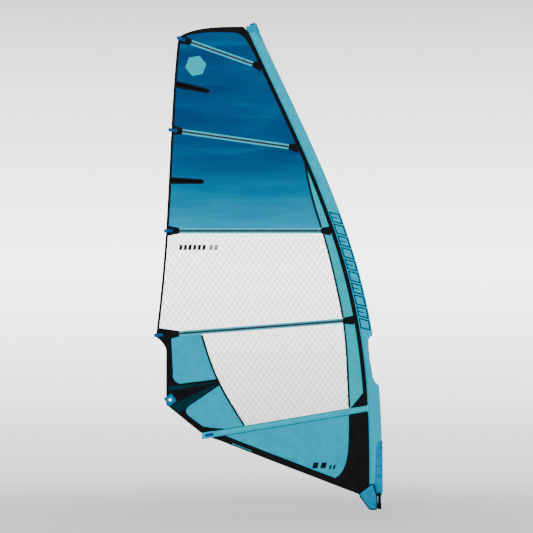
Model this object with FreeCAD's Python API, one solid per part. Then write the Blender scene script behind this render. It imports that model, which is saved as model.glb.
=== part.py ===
"""Windsurf sail, 5.5 square metres, complete with its battens, tensioners and tack and head fittings.

Millimetres.  +Z is up the mast, +X points forward (luff side), -X aft to the leech and
Y is across the cloth.  The origin lies on the mast axis, level with the lowest edge of the tack.
"""
import FreeCAD, Part
import math
import os

from FreeCAD import Vector

os.makedirs("parts", exist_ok=True)

# ---------------------------------------------------------------- driving dimensions
HEIGHT = 4180.0                     # tack to head
LUFF_FRONT = 28.0                   # front of the mast sleeve ahead of the mast axis, at the tack
LUFF_SWEEP = 1088.0                 # how far the head lies aft of the tack along the front edge
LUFF_BEND = (-0.215, 2.756, -1.541)  # share of the sweep that goes with height ^2, ^3 and ^4
SLEEVE_DEPTH = (114.0, 95.0)        # fore-and-aft depth of the mast sleeve at the tack and head
SLEEVE_NOSE = (25.0, 18.0)          # outside radius of the sleeve's front at the tack and head
SLEEVE_WALL = 1.2
SLEEVE_FOOT = 122.0                 # lower mouth of the sleeve
CUTOUT_TOP = 1505.0                 # upper end of the boom cut-out in the sleeve
SLEEVE_TOP = 4105.0                 # where the sleeve meets the head of the cloth
HEAD_SLOPE = ((-1168.0, 4153.0), (-1060.0, 4181.0))  # top edge of the sleeve, aft and front corner
CAMBER = 62.0                       # deepest belly of the cloth, towards -Y
CAMBER_HEIGHT = 1300.0              # height of the deepest section
CAMBER_FADE = 1500.0                # how quickly the belly fades towards the head and foot
LEECH_CHORD = (-2026.0, 0.074)      # aft end of the chord line: X at the tack, and its slope
CLOTH = 1.0
FILM = 0.6
TAPE = 1.6
LEECH_TAPE = 18.0
SEAM_GAP = 1.5                      # between the foot batten's pocket and the sleeve's seam
FOOT_TAPE = 58.0
LUFF_TAPE = 32.0

POCKET_HALF = (22.0, 22.0, 23.0, 22.0, 29.0)
POCKET_THICK = 11.0
CHANNEL_HALF = 6.0
CHANNEL_THICK = 9.4
BATTEN_HALF = 5.0
BATTEN_THICK = 8.0
# each batten: X and Z of its aft end on the leech, and its slope (rise per millimetre forward)
BATTENS = ((-1726.0, 4058.0, -0.3535), (-1797.0, 3267.0, -0.1433), (-1834.0, 2398.0, 0.0),
           (-1919.0, 1499.0, 0.0778), (-1484.0, 640.0, 0.1672))

# patches round the batten ends, battens 1 to 4: reach along the batten and half width at the sail's edge
LEECH_PATCHES = ((118.0, 46.0), (112.0, 46.0), (125.0, 50.0), (206.0, 69.0))
LUFF_PATCHES = ((66.0, 40.0), (80.0, 40.0), (84.0, 40.0), (98.0, 40.0))
PATCH_TIP = 24.0                    # half width of a patch at its inner end

LEECH_BATTENS = (3661.0, 2831.0)    # height of each short batten at the leech
LEECH_POCKET = (300.0, 30.0, 20.0)  # length, half width at the leech and at the inner end
LEECH_POCKET_DROP = (60.0, 10.0)    # how far the inner end lies below the leech end
LEECH_POCKET_THICK = (7.0, 5.4)     # outside, and of the channel inside
LEECH_ROD = (2.5, 4.0)              # half width and thickness of a short batten

HOUSING = (60.0, 13.0, 8.0)         # length, half width and half thickness of a tensioner
PLUG_BORE = 5.0
FIT = 0.05
PLUG_LENGTH = 22.0
PLUG_TRAVEL = 8.0
SCREW_SHANK = 2.5
SCREW_HEAD = 6.0
HEX_FLATS = 4.0

CLEW = Vector(-1795.0, 0.0, 945.0)
CLEW_EYELET = (11.0, 20.0)          # inside and outside radius
SHEAVE = (13.0, 8.5, 4.0)           # radius, width and axle radius of a tack pulley wheel
SHEAVES = 3
BLOCK_AT = Vector(3.3, -44.0, 20.0)  # axle of the tack pulley block
CHEEK = 1.8
STRAP_TAIL = 18.0                   # width of the strap's end that is sewn to the sleeve
CAP = (52.0, 60.0, 9.5, 36.0)       # head cap: depth fore and aft, length, socket radius and depth
CAP_PROUD = 9.0                     # how far the cap stands out of the sleeve
CAP_PLAY = 0.8


# ---------------------------------------------------------------- lines of the sail
def front(z):
    """Front edge of the mast sleeve at height z."""
    t = z / HEIGHT
    bend = sum(share * t ** (n + 2) for n, share in enumerate(LUFF_BEND))
    return LUFF_FRONT - LUFF_SWEEP * bend


def between(pair, z):
    """A dimension that changes evenly from the tack to the head."""
    return pair[0] + (pair[1] - pair[0]) * z / HEIGHT


def back(z):
    """Seam where the two walls of the mast sleeve meet."""
    return front(z) - between(SLEEVE_DEPTH, z)


def belly(x, z):
    """Y of the cloth: a cambered section whose aft third is nearly straight."""
    chord = back(z) - (LEECH_CHORD[0] + LEECH_CHORD[1] * z)
    s = (back(z) - x) / chord
    depth = CAMBER * math.exp(-((z - CAMBER_HEIGHT) / CAMBER_FADE) ** 2)
    if s > 1.0:
        return 0.0
    return -depth * 6.75 * s * (1.0 - s) ** 2


def batten_z(i, x, side=0.0):
    """Height of batten i's centre line, or of a pocket edge, at x."""
    x0, z0, slope = BATTENS[i]
    return z0 + slope * (x - x0) + side * math.hypot(1.0, slope)


def luff_line(inset, z0, z1, count=9):
    """Points of a line that follows the sleeve's back seam."""
    heights = [z0 + (z1 - z0) * n / (count - 1) for n in range(count)]
    return [(back(z) - inset, z) for z in heights]


LEECH = [(-1725, 4064), (-1768, 3560), (-1796, 3030), (-1830, 2400), (-1866, 1950), (-1919, 1484)]
NOTCH = [(-1919, 1484), (-1866, 1441), (-1838, 1400), (-1829, 1342)]
HEAD = [(-1168, 4153), (-1340, 4150), (-1520, 4134), (-1640, 4104), (-1725, 4064)]
FOOT = [(-1829, 905), (-1522, 655), (-1445, 620), (-1376, 599), (-176, 136), (back(130.0), 130.0)]
SEAM = [(-671, 3200), (-568, 2662), (-464, 2319), (-378, 1975), (-301, 1579), (-267, 1115), (-252, 780)]
CLEW_SEAM = [(-1531, 1530), (-1385, 1115), (-1293, 943), (-1140, 700)]
TACK_EDGE = [(-259, 1200), (-258, 800), (-262, 560), (-275, 440), (-305, 350), (-350, 290), (-410, 262)]
GUSSET_TOP, GUSSET_CORNER = 1003, (-250, 865)  # where the luff tape widens above the foot batten
HEAD_BAND = [(-1740, 4050), (-1625, 4085), (-1462, 4106), (-1281, 4106), (-1190, 4088),
             (-1147, 4049), (-1100, 3972), (-1035, 3860), (-990, 3780)]


# ---------------------------------------------------------------- shape helpers
def flat(x, z, y=0.0):
    return Vector(x, y, z)


def stretch(points):
    """One side of an outline: straight for two points, a smooth curve for more."""
    if len(points) == 2:
        return Part.makeLine(flat(*points[0]), flat(*points[1]))
    curve = Part.BSplineCurve()
    curve.interpolate([flat(*p) for p in points])
    return curve.toShape()


def area(*sides):
    """Flat face in the XZ plane bounded by the given sides, each starting where the last one ends."""
    return Part.Face(Part.Wire([stretch(side) for side in sides]))


def polygon(*points):
    return Part.Face(Part.makePolygon([flat(*p) for p in points + (points[0],)]))


def grid_surface():
    """The cloth's mid surface, a little larger than the sail."""
    rows = []
    for n in range(15):
        z = -60.0 + 4360.0 * n / 14
        chord = back(z) - (LEECH_CHORD[0] + LEECH_CHORD[1] * z)
        columns = [back(z) - chord * s for s in (0.0, 0.08, 0.17, 0.27, 0.38, 0.5, 0.63, 0.76, 0.88, 1.0)]
        points = [Vector(x, belly(x, z), z) for x in columns]
        rows.append([Vector(back(z) + 30.0, 0.0, z)] + points + [Vector(columns[-1] - 90.0, 0.0, z)])
    surface = Part.BSplineSurface()
    surface.interpolate(rows)
    return surface.toShape()


MID_SURFACE = grid_surface()


def cloth(face, thick, offset=0.0):
    """The piece of cloth that lies over a flat outline, with its thickness centred at an offset."""
    slab = MID_SURFACE.copy()
    slab.translate(Vector(0, offset - thick / 2, 0))
    slab = slab.extrude(Vector(0, thick, 0))
    column = face.copy()
    column.translate(Vector(0, -400, 0))
    column = column.extrude(Vector(0, 800, 0))
    return solids_of(column.common(slab))


def solids_of(shape):
    found = [s for s in shape.Solids if s.Volume > 1.0]
    if len(found) == 1:
        return found[0]
    return Part.makeCompound(found)


def save(node, shape):
    """Write one node, after checking that it holds valid solids."""
    good = bool(shape.Solids) and all(s.isValid() for s in shape.Solids)
    box = shape.BoundBox
    print("%-24s %2d solids %s  %8.1f cm3  x %6.0f..%5.0f z %5.0f..%5.0f" % (
        node, len(shape.Solids), "ok" if good else "BAD", shape.Volume / 1000.0,
        box.XMin, box.XMax, box.ZMin, box.ZMax))
    shape.exportStep("parts/%s.step" % node)


# ---------------------------------------------------------------- flat layout of the cloth
def band(i, half, x_aft, x_fore):
    """Strip along batten i between two heights of X, with square ends."""
    x0, z0, slope = BATTENS[i]
    length = math.hypot(1.0, slope)
    along, across = Vector(1 / length, 0, slope / length), Vector(-slope / length, 0, 1 / length)
    aft = Vector(x_aft, 0, batten_z(i, x_aft))
    fore = Vector(x_fore, 0, batten_z(i, x_fore))
    corners = [aft - across * half, fore - across * half, fore + across * half, aft + across * half]
    return Part.Face(Part.makePolygon(corners + corners[:1]))


def beyond(i, direction):
    """Everything above (1) or below (-1) the pocket of batten i."""
    left, right = -2300.0, 200.0
    side = direction * POCKET_HALF[i]
    far = direction * 5000.0
    return polygon((left, batten_z(i, left, side)), (right, batten_z(i, right, side)),
                   (right, far), (left, far))


def outline():
    """Edge of the whole sail behind the mast sleeve."""
    luff = luff_line(0.0, 130.0, SLEEVE_TOP)
    clew_side = [NOTCH[-1], FOOT[0]]
    foot_sides = [[FOOT[n], FOOT[n + 1]] for n in range(len(FOOT) - 1)]
    peak = [luff[-1], HEAD[0]]
    loop = [luff, peak, HEAD, LEECH, NOTCH, clew_side] + foot_sides
    return area(*loop)


def tensioner_footprint(i, grow=0.4):
    """Room that tensioner i takes out of the cloth."""
    length, half, _ = HOUSING
    x0 = BATTENS[i][0]
    return band(i, half + grow, x0 - 12.0, x0 + length + grow)


def fore_end(i):
    """X where the pocket of batten i meets the luff tape, or the sleeve for the foot batten."""
    x = -600.0
    for _ in range(30):
        x = back(batten_z(i, x)) - (LUFF_TAPE if i < 4 else 0.0)
    return x


SAIL = outline()
for number in range(5):
    SAIL = SAIL.cut(tensioner_footprint(number))


def moved(face, dx, dz):
    other = face.copy()
    other.translate(Vector(dx, 0, dz))
    return other


def luff_strip():
    """Tape along the luff, with its gusset above the foot batten."""
    inner, outer = luff_line(LUFF_TAPE, GUSSET_TOP, 4300.0), luff_line(-60.0, GUSSET_CORNER[1], 4300.0)
    return area(inner, [inner[-1], outer[-1]], outer[::-1], [outer[0], GUSSET_CORNER], [GUSSET_CORNER, inner[0]])


POCKETS = [band(i, POCKET_HALF[i], BATTENS[i][0] + HOUSING[0] + 0.4, fore_end(i)) for i in range(4)]
# the foot batten's pocket wraps round its tensioner, and is cut along the sleeve's seam instead of square
POCKETS.append(band(4, POCKET_HALF[4], BATTENS[4][0] - 40.0, fore_end(4) + 20.0)
               .common(moved(outline(), -SEAM_GAP, 0.0)).cut(tensioner_footprint(4)))


def patch(i, x_edge, reach, wide):
    """Tapered reinforcement round one end of a batten pocket; the sign of its reach is its direction."""
    x_in = x_edge + reach
    return polygon((x_edge, batten_z(i, x_edge, -wide)), (x_in, batten_z(i, x_in, -PATCH_TIP)),
                   (x_in, batten_z(i, x_in, PATCH_TIP)), (x_edge, batten_z(i, x_edge, wide)))


def cloth_layout():
    """Flat faces of every cloth piece, which share their edges and don't overlap."""
    parts = {}
    rest = SAIL
    for face in POCKETS:
        rest = rest.cut(face)
    aft_ends = [patch(i, BATTENS[i][0] - 6.0, reach, wide) for i, (reach, wide) in enumerate(LEECH_PATCHES)]
    fore_ends = [patch(i, fore_end(i), -reach, wide) for i, (reach, wide) in enumerate(LUFF_PATCHES)]
    parts["batten_end_patches"] = [rest.common(face) for face in aft_ends + fore_ends]
    for face in aft_ends + fore_ends:
        rest = rest.cut(face)
    strip = luff_strip()
    parts["luff_tape"] = rest.common(strip).common(beyond(4, 1))
    field = rest.cut(parts["luff_tape"])
    inside_leech = moved(outline(), LEECH_TAPE, 0.0)
    lower_limit = polygon((-2300, 0), (200, 0), (200, 4040), (-2300, 4040))
    parts["leech_tape"] = field.cut(inside_leech).common(lower_limit).common(beyond(4, 1))
    field = field.cut(parts["leech_tape"])
    below_foot_tape = field.cut(moved(outline(), 0.0, FOOT_TAPE)).common(beyond(4, -1))
    parts["foot_tape"] = below_foot_tape.common(polygon((-2300, -50), (-262, -50), (-262, 900), (-2300, 900)))
    field = field.cut(parts["foot_tape"])
    head_limit = area(HEAD_BAND, [HEAD_BAND[-1], (-900, 4500)], [(-900, 4500), (-1800, 4500)],
                      [(-1800, 4500), HEAD_BAND[0]])
    parts["head_band"] = field.common(head_limit)
    field = field.cut(head_limit)
    ahead = area(SEAM[::-1], [SEAM[0], (200, 3200)], [(200, 3200), (200, 780)], [(200, 780), SEAM[-1]])
    parts["head_panel"] = field.common(beyond(0, 1))
    parts["upper_body_panel"] = field.common(beyond(0, -1)).common(beyond(1, 1))
    zones = {"mid_body_panel": (1, 2), "upper_window": (2, 3), "lower_window": (3, 4)}
    for n, (name, (top, bottom)) in enumerate(zones.items()):
        zone = field.common(beyond(top, -1)).common(beyond(bottom, 1))
        parts["luff_panel_%d" % (n + 1)] = zone.common(ahead)
        parts[name] = zone.cut(ahead)
    aft_of_window = area(CLEW_SEAM, [CLEW_SEAM[-1], (-2300, 500)], [(-2300, 500), (-2300, 1530)],
                         [(-2300, 1530), CLEW_SEAM[0]])
    clew = parts["lower_window"].common(aft_of_window)
    parts["lower_window"] = parts["lower_window"].cut(aft_of_window)
    above_patch = area([(-1789, 1600), (-1788, 1463)], [(-1788, 1463), (-1773, 1174)],
                       [(-1773, 1174), (-1763, 1117), (-1723, 1085), (-1684, 1085)],
                       [(-1684, 1085), (-1541, 1103), (-1370, 1126)], [(-1370, 1126), (-1200, 1126)],
                       [(-1200, 1126), (-1200, 1600)], [(-1200, 1600), (-1789, 1600)])
    below_patch = area([(-1355, 1084), (-1636, 892)], [(-1636, 892), (-1661, 850), (-1640, 808)],
                       [(-1640, 808), (-1513, 714)], [(-1513, 714), (-1400, 700), (-1150, 702)],
                       [(-1150, 702), (-1150, 1084)], [(-1150, 1084), (-1355, 1084)])
    parts["clew_panel_upper"] = clew.common(above_patch)
    parts["clew_panel_lower"] = clew.cut(above_patch).common(below_patch)
    parts["clew_patch"] = clew.cut(above_patch).cut(below_patch)
    foot = field.common(beyond(4, -1))
    tack_zone = area(TACK_EDGE, [TACK_EDGE[-1], (-410, -50)], [(-410, -50), (200, -50)],
                     [(200, -50), (200, 1200)], [(200, 1200), TACK_EDGE[0]])
    parts["foot_panel"] = foot.cut(tack_zone)
    parts["tack_panel"] = foot.common(tack_zone)
    return parts


def tubular(faces, channel, thick, room):
    """Cloth sewn round a channel for a batten, with that much room across it."""
    outside = [cloth(face, thick) for face in faces]
    hollow = cloth(channel, room)
    return solids_of(Part.makeCompound([s for shape in outside for s in shape.cut(hollow).Solids]))


def make_cloth():
    thickness = {"upper_window": FILM, "lower_window": FILM, "leech_tape": TAPE, "foot_tape": TAPE,
                 "luff_tape": TAPE, "clew_patch": 2.0, "head_band": TAPE, "tack_panel": TAPE}
    layout = cloth_layout()
    ends = layout.pop("batten_end_patches")
    leech_pockets = [leech_pocket(z) for z in LEECH_BATTENS]
    for name, face in layout.items():
        for pocket in leech_pockets:
            face = face.cut(pocket)
        if name in ("clew_patch", "leech_tape", "foot_tape"):
            face = face.cut(clew_tab_face())
        save(name, cloth(face, thickness.get(name, CLOTH)))
    channels = [band(i, CHANNEL_HALF, BATTENS[i][0] + HOUSING[0] - 20.0, fore_end(i) + 12.0) for i in range(5)]
    for i in range(5):
        save("batten_pocket_%d" % (i + 1), tubular([POCKETS[i]], channels[i], POCKET_THICK, CHANNEL_THICK))
    patches = []
    for n, face in enumerate(ends):
        patches += tubular([face], channels[n % 4], POCKET_THICK, CHANNEL_THICK).Solids
    save("batten_end_patches", Part.makeCompound(patches))
    inner = [tubular([leech_pocket(z)], leech_channel(z), *LEECH_POCKET_THICK) for z in LEECH_BATTENS]
    save("leech_batten_pockets", Part.makeCompound([s for shape in inner for s in shape.Solids]))
    half, thick = LEECH_ROD
    rods = [cloth(leech_channel(z, half), thick) for z in LEECH_BATTENS]
    save("leech_battens", Part.makeCompound([s for shape in rods for s in shape.Solids]))


# ---------------------------------------------------------------- short leech battens
def leech_x(z):
    """X of the leech at height z, on straight lines between its points."""
    for (xa, za), (xb, zb) in zip(LEECH, LEECH[1:]):
        if zb <= z <= za:
            return xb + (xa - xb) * (z - zb) / (za - zb)
    raise ValueError("no leech at that height")


def leech_pocket(z):
    length, wide, narrow = LEECH_POCKET
    drop = LEECH_POCKET_DROP[LEECH_BATTENS.index(z)]
    x = leech_x(z) + 3.0
    inner, tip = x + length - narrow, x + length
    return area([(x, z + wide), (inner, z - drop + narrow)],
                [(inner, z - drop + narrow), (tip, z - drop), (inner, z - drop - narrow)],
                [(inner, z - drop - narrow), (x, z - wide)], [(x, z - wide), (x, z + wide)])


def leech_channel(z, half=4.0):
    length = LEECH_POCKET[0]
    drop = LEECH_POCKET_DROP[LEECH_BATTENS.index(z)]
    x, room = leech_x(z), 4.0 - half
    start, end = x + 22.0 + room, x + length - 24.0 - room
    return polygon((start, z - half), (end, z - drop - half), (end, z - drop + half), (start, z + half))


# ---------------------------------------------------------------- battens and their tensioners
def make_battens():
    for i in range(5):
        start = BATTENS[i][0] + HOUSING[0] + 1.0
        rod = band(i, BATTEN_HALF, start, fore_end(i) - (1.0 if i < 4 else 8.0))
        save("batten_%d" % (i + 1), cloth(rod, BATTEN_THICK))


def batten_frame(i, x):
    """Point on batten i at x, and the unit vector that points aft along it."""
    slope = BATTENS[i][2]
    length = math.hypot(1.0, slope)
    z = batten_z(i, x)
    return Vector(x, belly(x, z), z), Vector(-1.0 / length, 0, -slope / length)


def rod(start, axis, radius, length):
    return Part.makeCylinder(radius, length, start, axis)


def hexagon(start, axis, flats, depth):
    """Hexagonal socket, cut from its mouth inwards against the axis."""
    tool = Part.Face(Part.makePolygon([Vector(flats / math.sqrt(3) * math.cos(math.radians(60 * n)),
                                              flats / math.sqrt(3) * math.sin(math.radians(60 * n)), 0)
                                       for n in range(7)])).extrude(Vector(0, 0, depth))
    tool.Placement = FreeCAD.Placement(start, FreeCAD.Rotation(Vector(0, 0, 1), axis))
    return tool


def make_tensioner(i):
    """Housing, screw and sliding plug at the aft end of batten i."""
    length, half, thick = HOUSING
    mouth, aft = batten_frame(i, BATTENS[i][0] + length)
    ahead = aft * -1.0
    name = "_%d" % (i + 1)
    body_length = length + 8.0
    block = Part.makeBox(body_length, 2 * half, 2 * thick, Vector(0, -half, -thick))
    block = block.makeFillet(5.0, [e for e in block.Edges if abs(e.tangentAt(e.FirstParameter).x) > 0.9])
    block.Placement = FreeCAD.Placement(mouth, FreeCAD.Rotation(aft, Vector(0, 1, 0).cross(aft),
                                                                Vector(0, 1, 0), "XZY"))
    bore = rod(mouth - aft, aft, PLUG_BORE, body_length + 2.0)
    save("tensioner_housing" + name, block.cut(bore))
    gap = PLUG_TRAVEL + 2.0
    plug_start = mouth + aft * gap
    plug = rod(plug_start, aft, PLUG_BORE - FIT, PLUG_LENGTH)
    plug = plug.cut(rod(plug_start + aft * 5.0, aft, SCREW_SHANK + FIT, PLUG_LENGTH))
    save("batten_plug" + name, plug)
    head_at = body_length - SCREW_HEAD - 4.0
    head_start = mouth + aft * head_at
    shank_length = head_at - gap - 8.0
    screw = rod(head_start, aft, PLUG_BORE - FIT, SCREW_HEAD)
    screw = screw.fuse(rod(head_start, ahead, SCREW_SHANK, shank_length))
    socket = hexagon(head_start + aft * SCREW_HEAD, ahead, HEX_FLATS, 4.0)
    save("tension_screw" + name, screw.cut(socket).removeSplitter())
    return head_start, aft


# ---------------------------------------------------------------- clew
def clew_tab_face():
    """Rounded square of reinforcement that carries the clew eyelet."""
    tilt = math.radians(-35.0)
    half, corner = 42.0, 12.0
    square = Part.makeBox(2 * half, 2.0, 2 * half, Vector(-half, -1.0, -half))
    upright = [e for e in square.Edges if abs(e.tangentAt(e.FirstParameter).y) > 0.9]
    square = square.makeFillet(corner, upright)
    face = min(square.Faces, key=lambda f: f.CenterOfMass.y)
    face = face.copy()
    face.translate(Vector(0, 1.0, 0))
    face.rotate(Vector(), Vector(0, 1, 0), math.degrees(tilt))
    face.translate(Vector(CLEW.x, 0, CLEW.z))
    return face


def make_clew():
    inside, outside = CLEW_EYELET
    tab_thick, flange = 5.0, 2.0
    tab = clew_tab_face()
    tab.translate(Vector(0, -tab_thick / 2, 0))
    tab = tab.extrude(Vector(0, tab_thick, 0))
    seat = rod(CLEW + Vector(0, -20, 0), Vector(0, 1, 0), inside + 1.8, 40.0)
    save("clew_tab", tab.cut(seat))
    half = tab_thick / 2 + flange
    eyelet = rod(CLEW + Vector(0, -half, 0), Vector(0, 1, 0), outside, 2 * half)
    eyelet = eyelet.makeFillet(1.2, [e for e in eyelet.Edges if e.Closed])
    groove = rod(CLEW + Vector(0, -tab_thick / 2, 0), Vector(0, 1, 0), outside + 5.0, tab_thick)
    groove = groove.cut(rod(CLEW + Vector(0, -tab_thick, 0), Vector(0, 1, 0), inside + 1.8, 2 * tab_thick))
    bore = rod(CLEW + Vector(0, -20, 0), Vector(0, 1, 0), inside, 40.0)
    save("clew_eyelet", eyelet.cut(groove).cut(bore))


# ---------------------------------------------------------------- mast sleeve
def sleeve_section(z, grow=0.0):
    """Teardrop section of the mast sleeve: a round nose and two walls that meet at the seam."""
    nose = between(SLEEVE_NOSE, z)
    centre = front(z) - nose
    radius = nose + grow
    tail = centre - back(z) + grow * 1.5
    lean = math.acos(radius / tail)
    touch = Vector(centre - radius * math.cos(lean), radius * math.sin(lean), z)
    mirror = Vector(touch.x, -touch.y, z)
    seam = Vector(centre - tail, 0, z)
    nose_arc = Part.Arc(touch, Vector(centre + radius, 0, z), mirror).toShape()
    return Part.Wire([Part.makeLine(seam, touch), nose_arc, Part.makeLine(mirror, seam)])


def sleeve_loft(z0, z1, grow=0.0, sections=9):
    heights = [z0 + (z1 - z0) * n / (sections - 1) for n in range(sections)]
    return Part.makeLoft([sleeve_section(z, grow) for z in heights], True)


def make_sleeve():
    upper = sleeve_loft(CUTOUT_TOP, HEIGHT + 30.0, 0.0, 13)
    upper = upper.cut(sleeve_loft(CUTOUT_TOP - 5, HEIGHT + 35.0, -SLEEVE_WALL, 13))
    upper = upper.cut(above_head(-1.5))
    lower = sleeve_loft(SLEEVE_FOOT, CUTOUT_TOP, 0.0, 9)
    lower = lower.cut(sleeve_loft(SLEEVE_FOOT - 5, CUTOUT_TOP + 5, -SLEEVE_WALL, 9))
    inner_edge = [(40, 1062), (-2, 1070), (-32, 1094), (-54, 1140), (-62, 1200), (-78, 1290), (-88, 1380),
                  (-91, 1462), (-74, 1490), (-48, 1500), (40, CUTOUT_TOP)]
    opening = area(inner_edge, [inner_edge[-1], (120, CUTOUT_TOP)], [(120, CUTOUT_TOP), (120, 1062)],
                   [(120, 1062), inner_edge[0]])
    opening.translate(Vector(0, -100, 0))
    lower = lower.cut(opening.extrude(Vector(0, 200, 0)))
    save("luff_sleeve_upper", solids_of(upper))
    save("luff_sleeve_lower", solids_of(lower))


def above_head(rise):
    """Everything above the slanting top edge of the sleeve."""
    (xa, za), (xf, zf) = HEAD_SLOPE
    slope = (zf - za) / (xf - xa)
    low = polygon((xa - 200, za - 200 * slope + rise), (xf + 200, zf + 200 * slope + rise),
                  (xf + 200, 5000), (xa - 200, 5000))
    low.translate(Vector(0, -200, 0))
    return low.extrude(Vector(0, 400, 0))


def nose_shell(z0, z1, x_min, inner, outer):
    """Layer wrapped round the front of the sleeve, from x_min forward."""
    shell = sleeve_loft(z0, z1, outer, 5).cut(sleeve_loft(z0 - 5, z1 + 5, inner, 5))
    keep = Part.makeBox(200, 200, z1 - z0 + 20, Vector(x_min, -100, z0 - 10))
    return solids_of(shell.common(keep))


def make_protector():
    """Padded sheath round the foot of the sleeve, with an arch over the tack block and one eyelet."""
    eyelet_at = Vector(0, 0, 552.0)
    arch_at, arch_radius = Vector(11.0, -200, 126.0), 22.0
    arch = rod(arch_at, Vector(0, 1, 0), arch_radius, 400.0)
    arch = arch.fuse(Part.makeBox(200, 400, 60, arch_at + Vector(-arch_radius, 0, -60)))
    hole = rod(eyelet_at, Vector(1, 0, 0), 12.4, 80.0)
    save("mast_protector", solids_of(nose_shell(116.0, 598.0, -38.0, 0.3, 4.3).cut(hole).cut(arch)))
    ring = nose_shell(500.0, 604.0, 0.0, 4.4, 7.0)
    ring = ring.common(rod(eyelet_at, Vector(1, 0, 0), 19.0, 80.0))
    collar = nose_shell(500.0, 604.0, 0.0, 0.4, 7.0).common(rod(eyelet_at, Vector(1, 0, 0), 12.2, 80.0))
    ring = ring.fuse(collar).cut(rod(eyelet_at, Vector(1, 0, 0), 10.0, 80.0))
    save("protector_eyelet", solids_of(ring))


# ---------------------------------------------------------------- tack and head fittings
FAIRING = [(-68, 219), (-165, 143), (-168, 122), (-88, 14), (-72, 4), (-24, 4), (-15, 30), (-18, 120), (-50, 219)]
FAIRING_THICK = 5.0
FAIRING_Y = (-22.0, -36.0)          # near face of the fairing at its aft and front edges


def fairing_y(x):
    aft, fore = -168.0, -15.0
    return FAIRING_Y[0] + (FAIRING_Y[1] - FAIRING_Y[0]) * (x - aft) / (fore - aft)


def make_fairing():
    """Padded flap that covers the tack fittings."""
    points = [Vector(x, fairing_y(x), z) for x, z in FAIRING]
    face = Part.Face(Part.makePolygon(points + points[:1]))
    save("tack_fairing", face.extrude(Vector(0, -FAIRING_THICK, 0)))


def make_tack_block():
    """Three wheels on one axle between two cheeks, hung on a webbing strap."""
    radius, width, axle = SHEAVE
    side = Vector(1, 0, 0)
    pitch = width + 0.8
    total = pitch * SHEAVES
    for n in range(SHEAVES):
        start = BLOCK_AT + side * ((n - (SHEAVES - 1) / 2) * pitch - width / 2)
        wheel = rod(start, side, radius, width)
        wheel = wheel.cut(groove_ring(start + side * (width / 2), radius, 2.2))
        save("tack_sheave_%d" % (n + 1), wheel.cut(rod(start, side, axle + FIT, width)))
    cheeks = []
    for direction in (-1, 1):
        inner = BLOCK_AT.x + direction * total / 2
        x0 = min(inner, inner + direction * CHEEK)
        plate = Part.makeBox(CHEEK, 2 * radius + 4, 2 * radius + 34, Vector(x0, BLOCK_AT.y - radius - 2,
                                                                          BLOCK_AT.z - radius - 3))
        edges = [e for e in plate.Edges if abs(e.tangentAt(e.FirstParameter).x) > 0.9]
        plate = plate.makeFillet(9.0, edges)
        cheeks.append(plate)
    top = BLOCK_AT.z + radius + 18.0
    bar = rod(Vector(BLOCK_AT.x - total / 2 - 0.1, BLOCK_AT.y, top), side, 4.0, total + 0.2)
    frame = cheeks[0].fuse(bar).fuse(cheeks[1])
    pin = rod(BLOCK_AT - side * (total / 2 + CHEEK + 1.5), side, axle, total + 2 * CHEEK + 3.0)
    save("tack_block_frame", solids_of(frame.cut(pin)))
    save("tack_block_axle", pin)
    make_tack_strap(top, total)


def groove_ring(centre, radius, depth):
    """Rope groove round a wheel whose axis is along X."""
    return Part.makeTorus(radius + 0.6, depth, centre, Vector(1, 0, 0))


def make_tack_strap(top, total):
    """Webbing loop that passes round the block's bar and up to the foot of the sleeve."""
    wide = total - 2.0
    x0 = BLOCK_AT.x - wide / 2
    inner = 4.0 + FIT + 0.03
    outer = inner + 1.6
    y, peak = BLOCK_AT.y, 142.0
    ring = rod(Vector(x0, y, top), Vector(1, 0, 0), outer, wide)
    legs = Part.makeBox(wide, 2 * outer, peak - top, Vector(x0, y - outer, top))
    crown = rod(Vector(x0, y, peak), Vector(1, 0, 0), outer, wide)
    loop = ring.fuse(legs).fuse(crown)
    hollow = rod(Vector(x0, y, top), Vector(1, 0, 0), inner, wide)
    hollow = hollow.fuse(Part.makeBox(wide, 2 * inner, 14.0, Vector(x0, y - inner, top)))
    tail = Part.makeBox(STRAP_TAIL, 22.0, 12.0, Vector(BLOCK_AT.x - STRAP_TAIL / 2, y, SLEEVE_FOOT + 5.0))
    whole = loop.cut(hollow).fuse(tail).cut(sleeve_loft(SLEEVE_FOOT - 5, SLEEVE_FOOT + 60.0, 0.0, 3))
    save("tack_strap", solids_of(whole.removeSplitter()))


def head_axis():
    """Unit vector up the mast at the head."""
    rise = Vector(front(4180.0) - front(4080.0), 0, 100.0)
    return rise.normalize()


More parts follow.
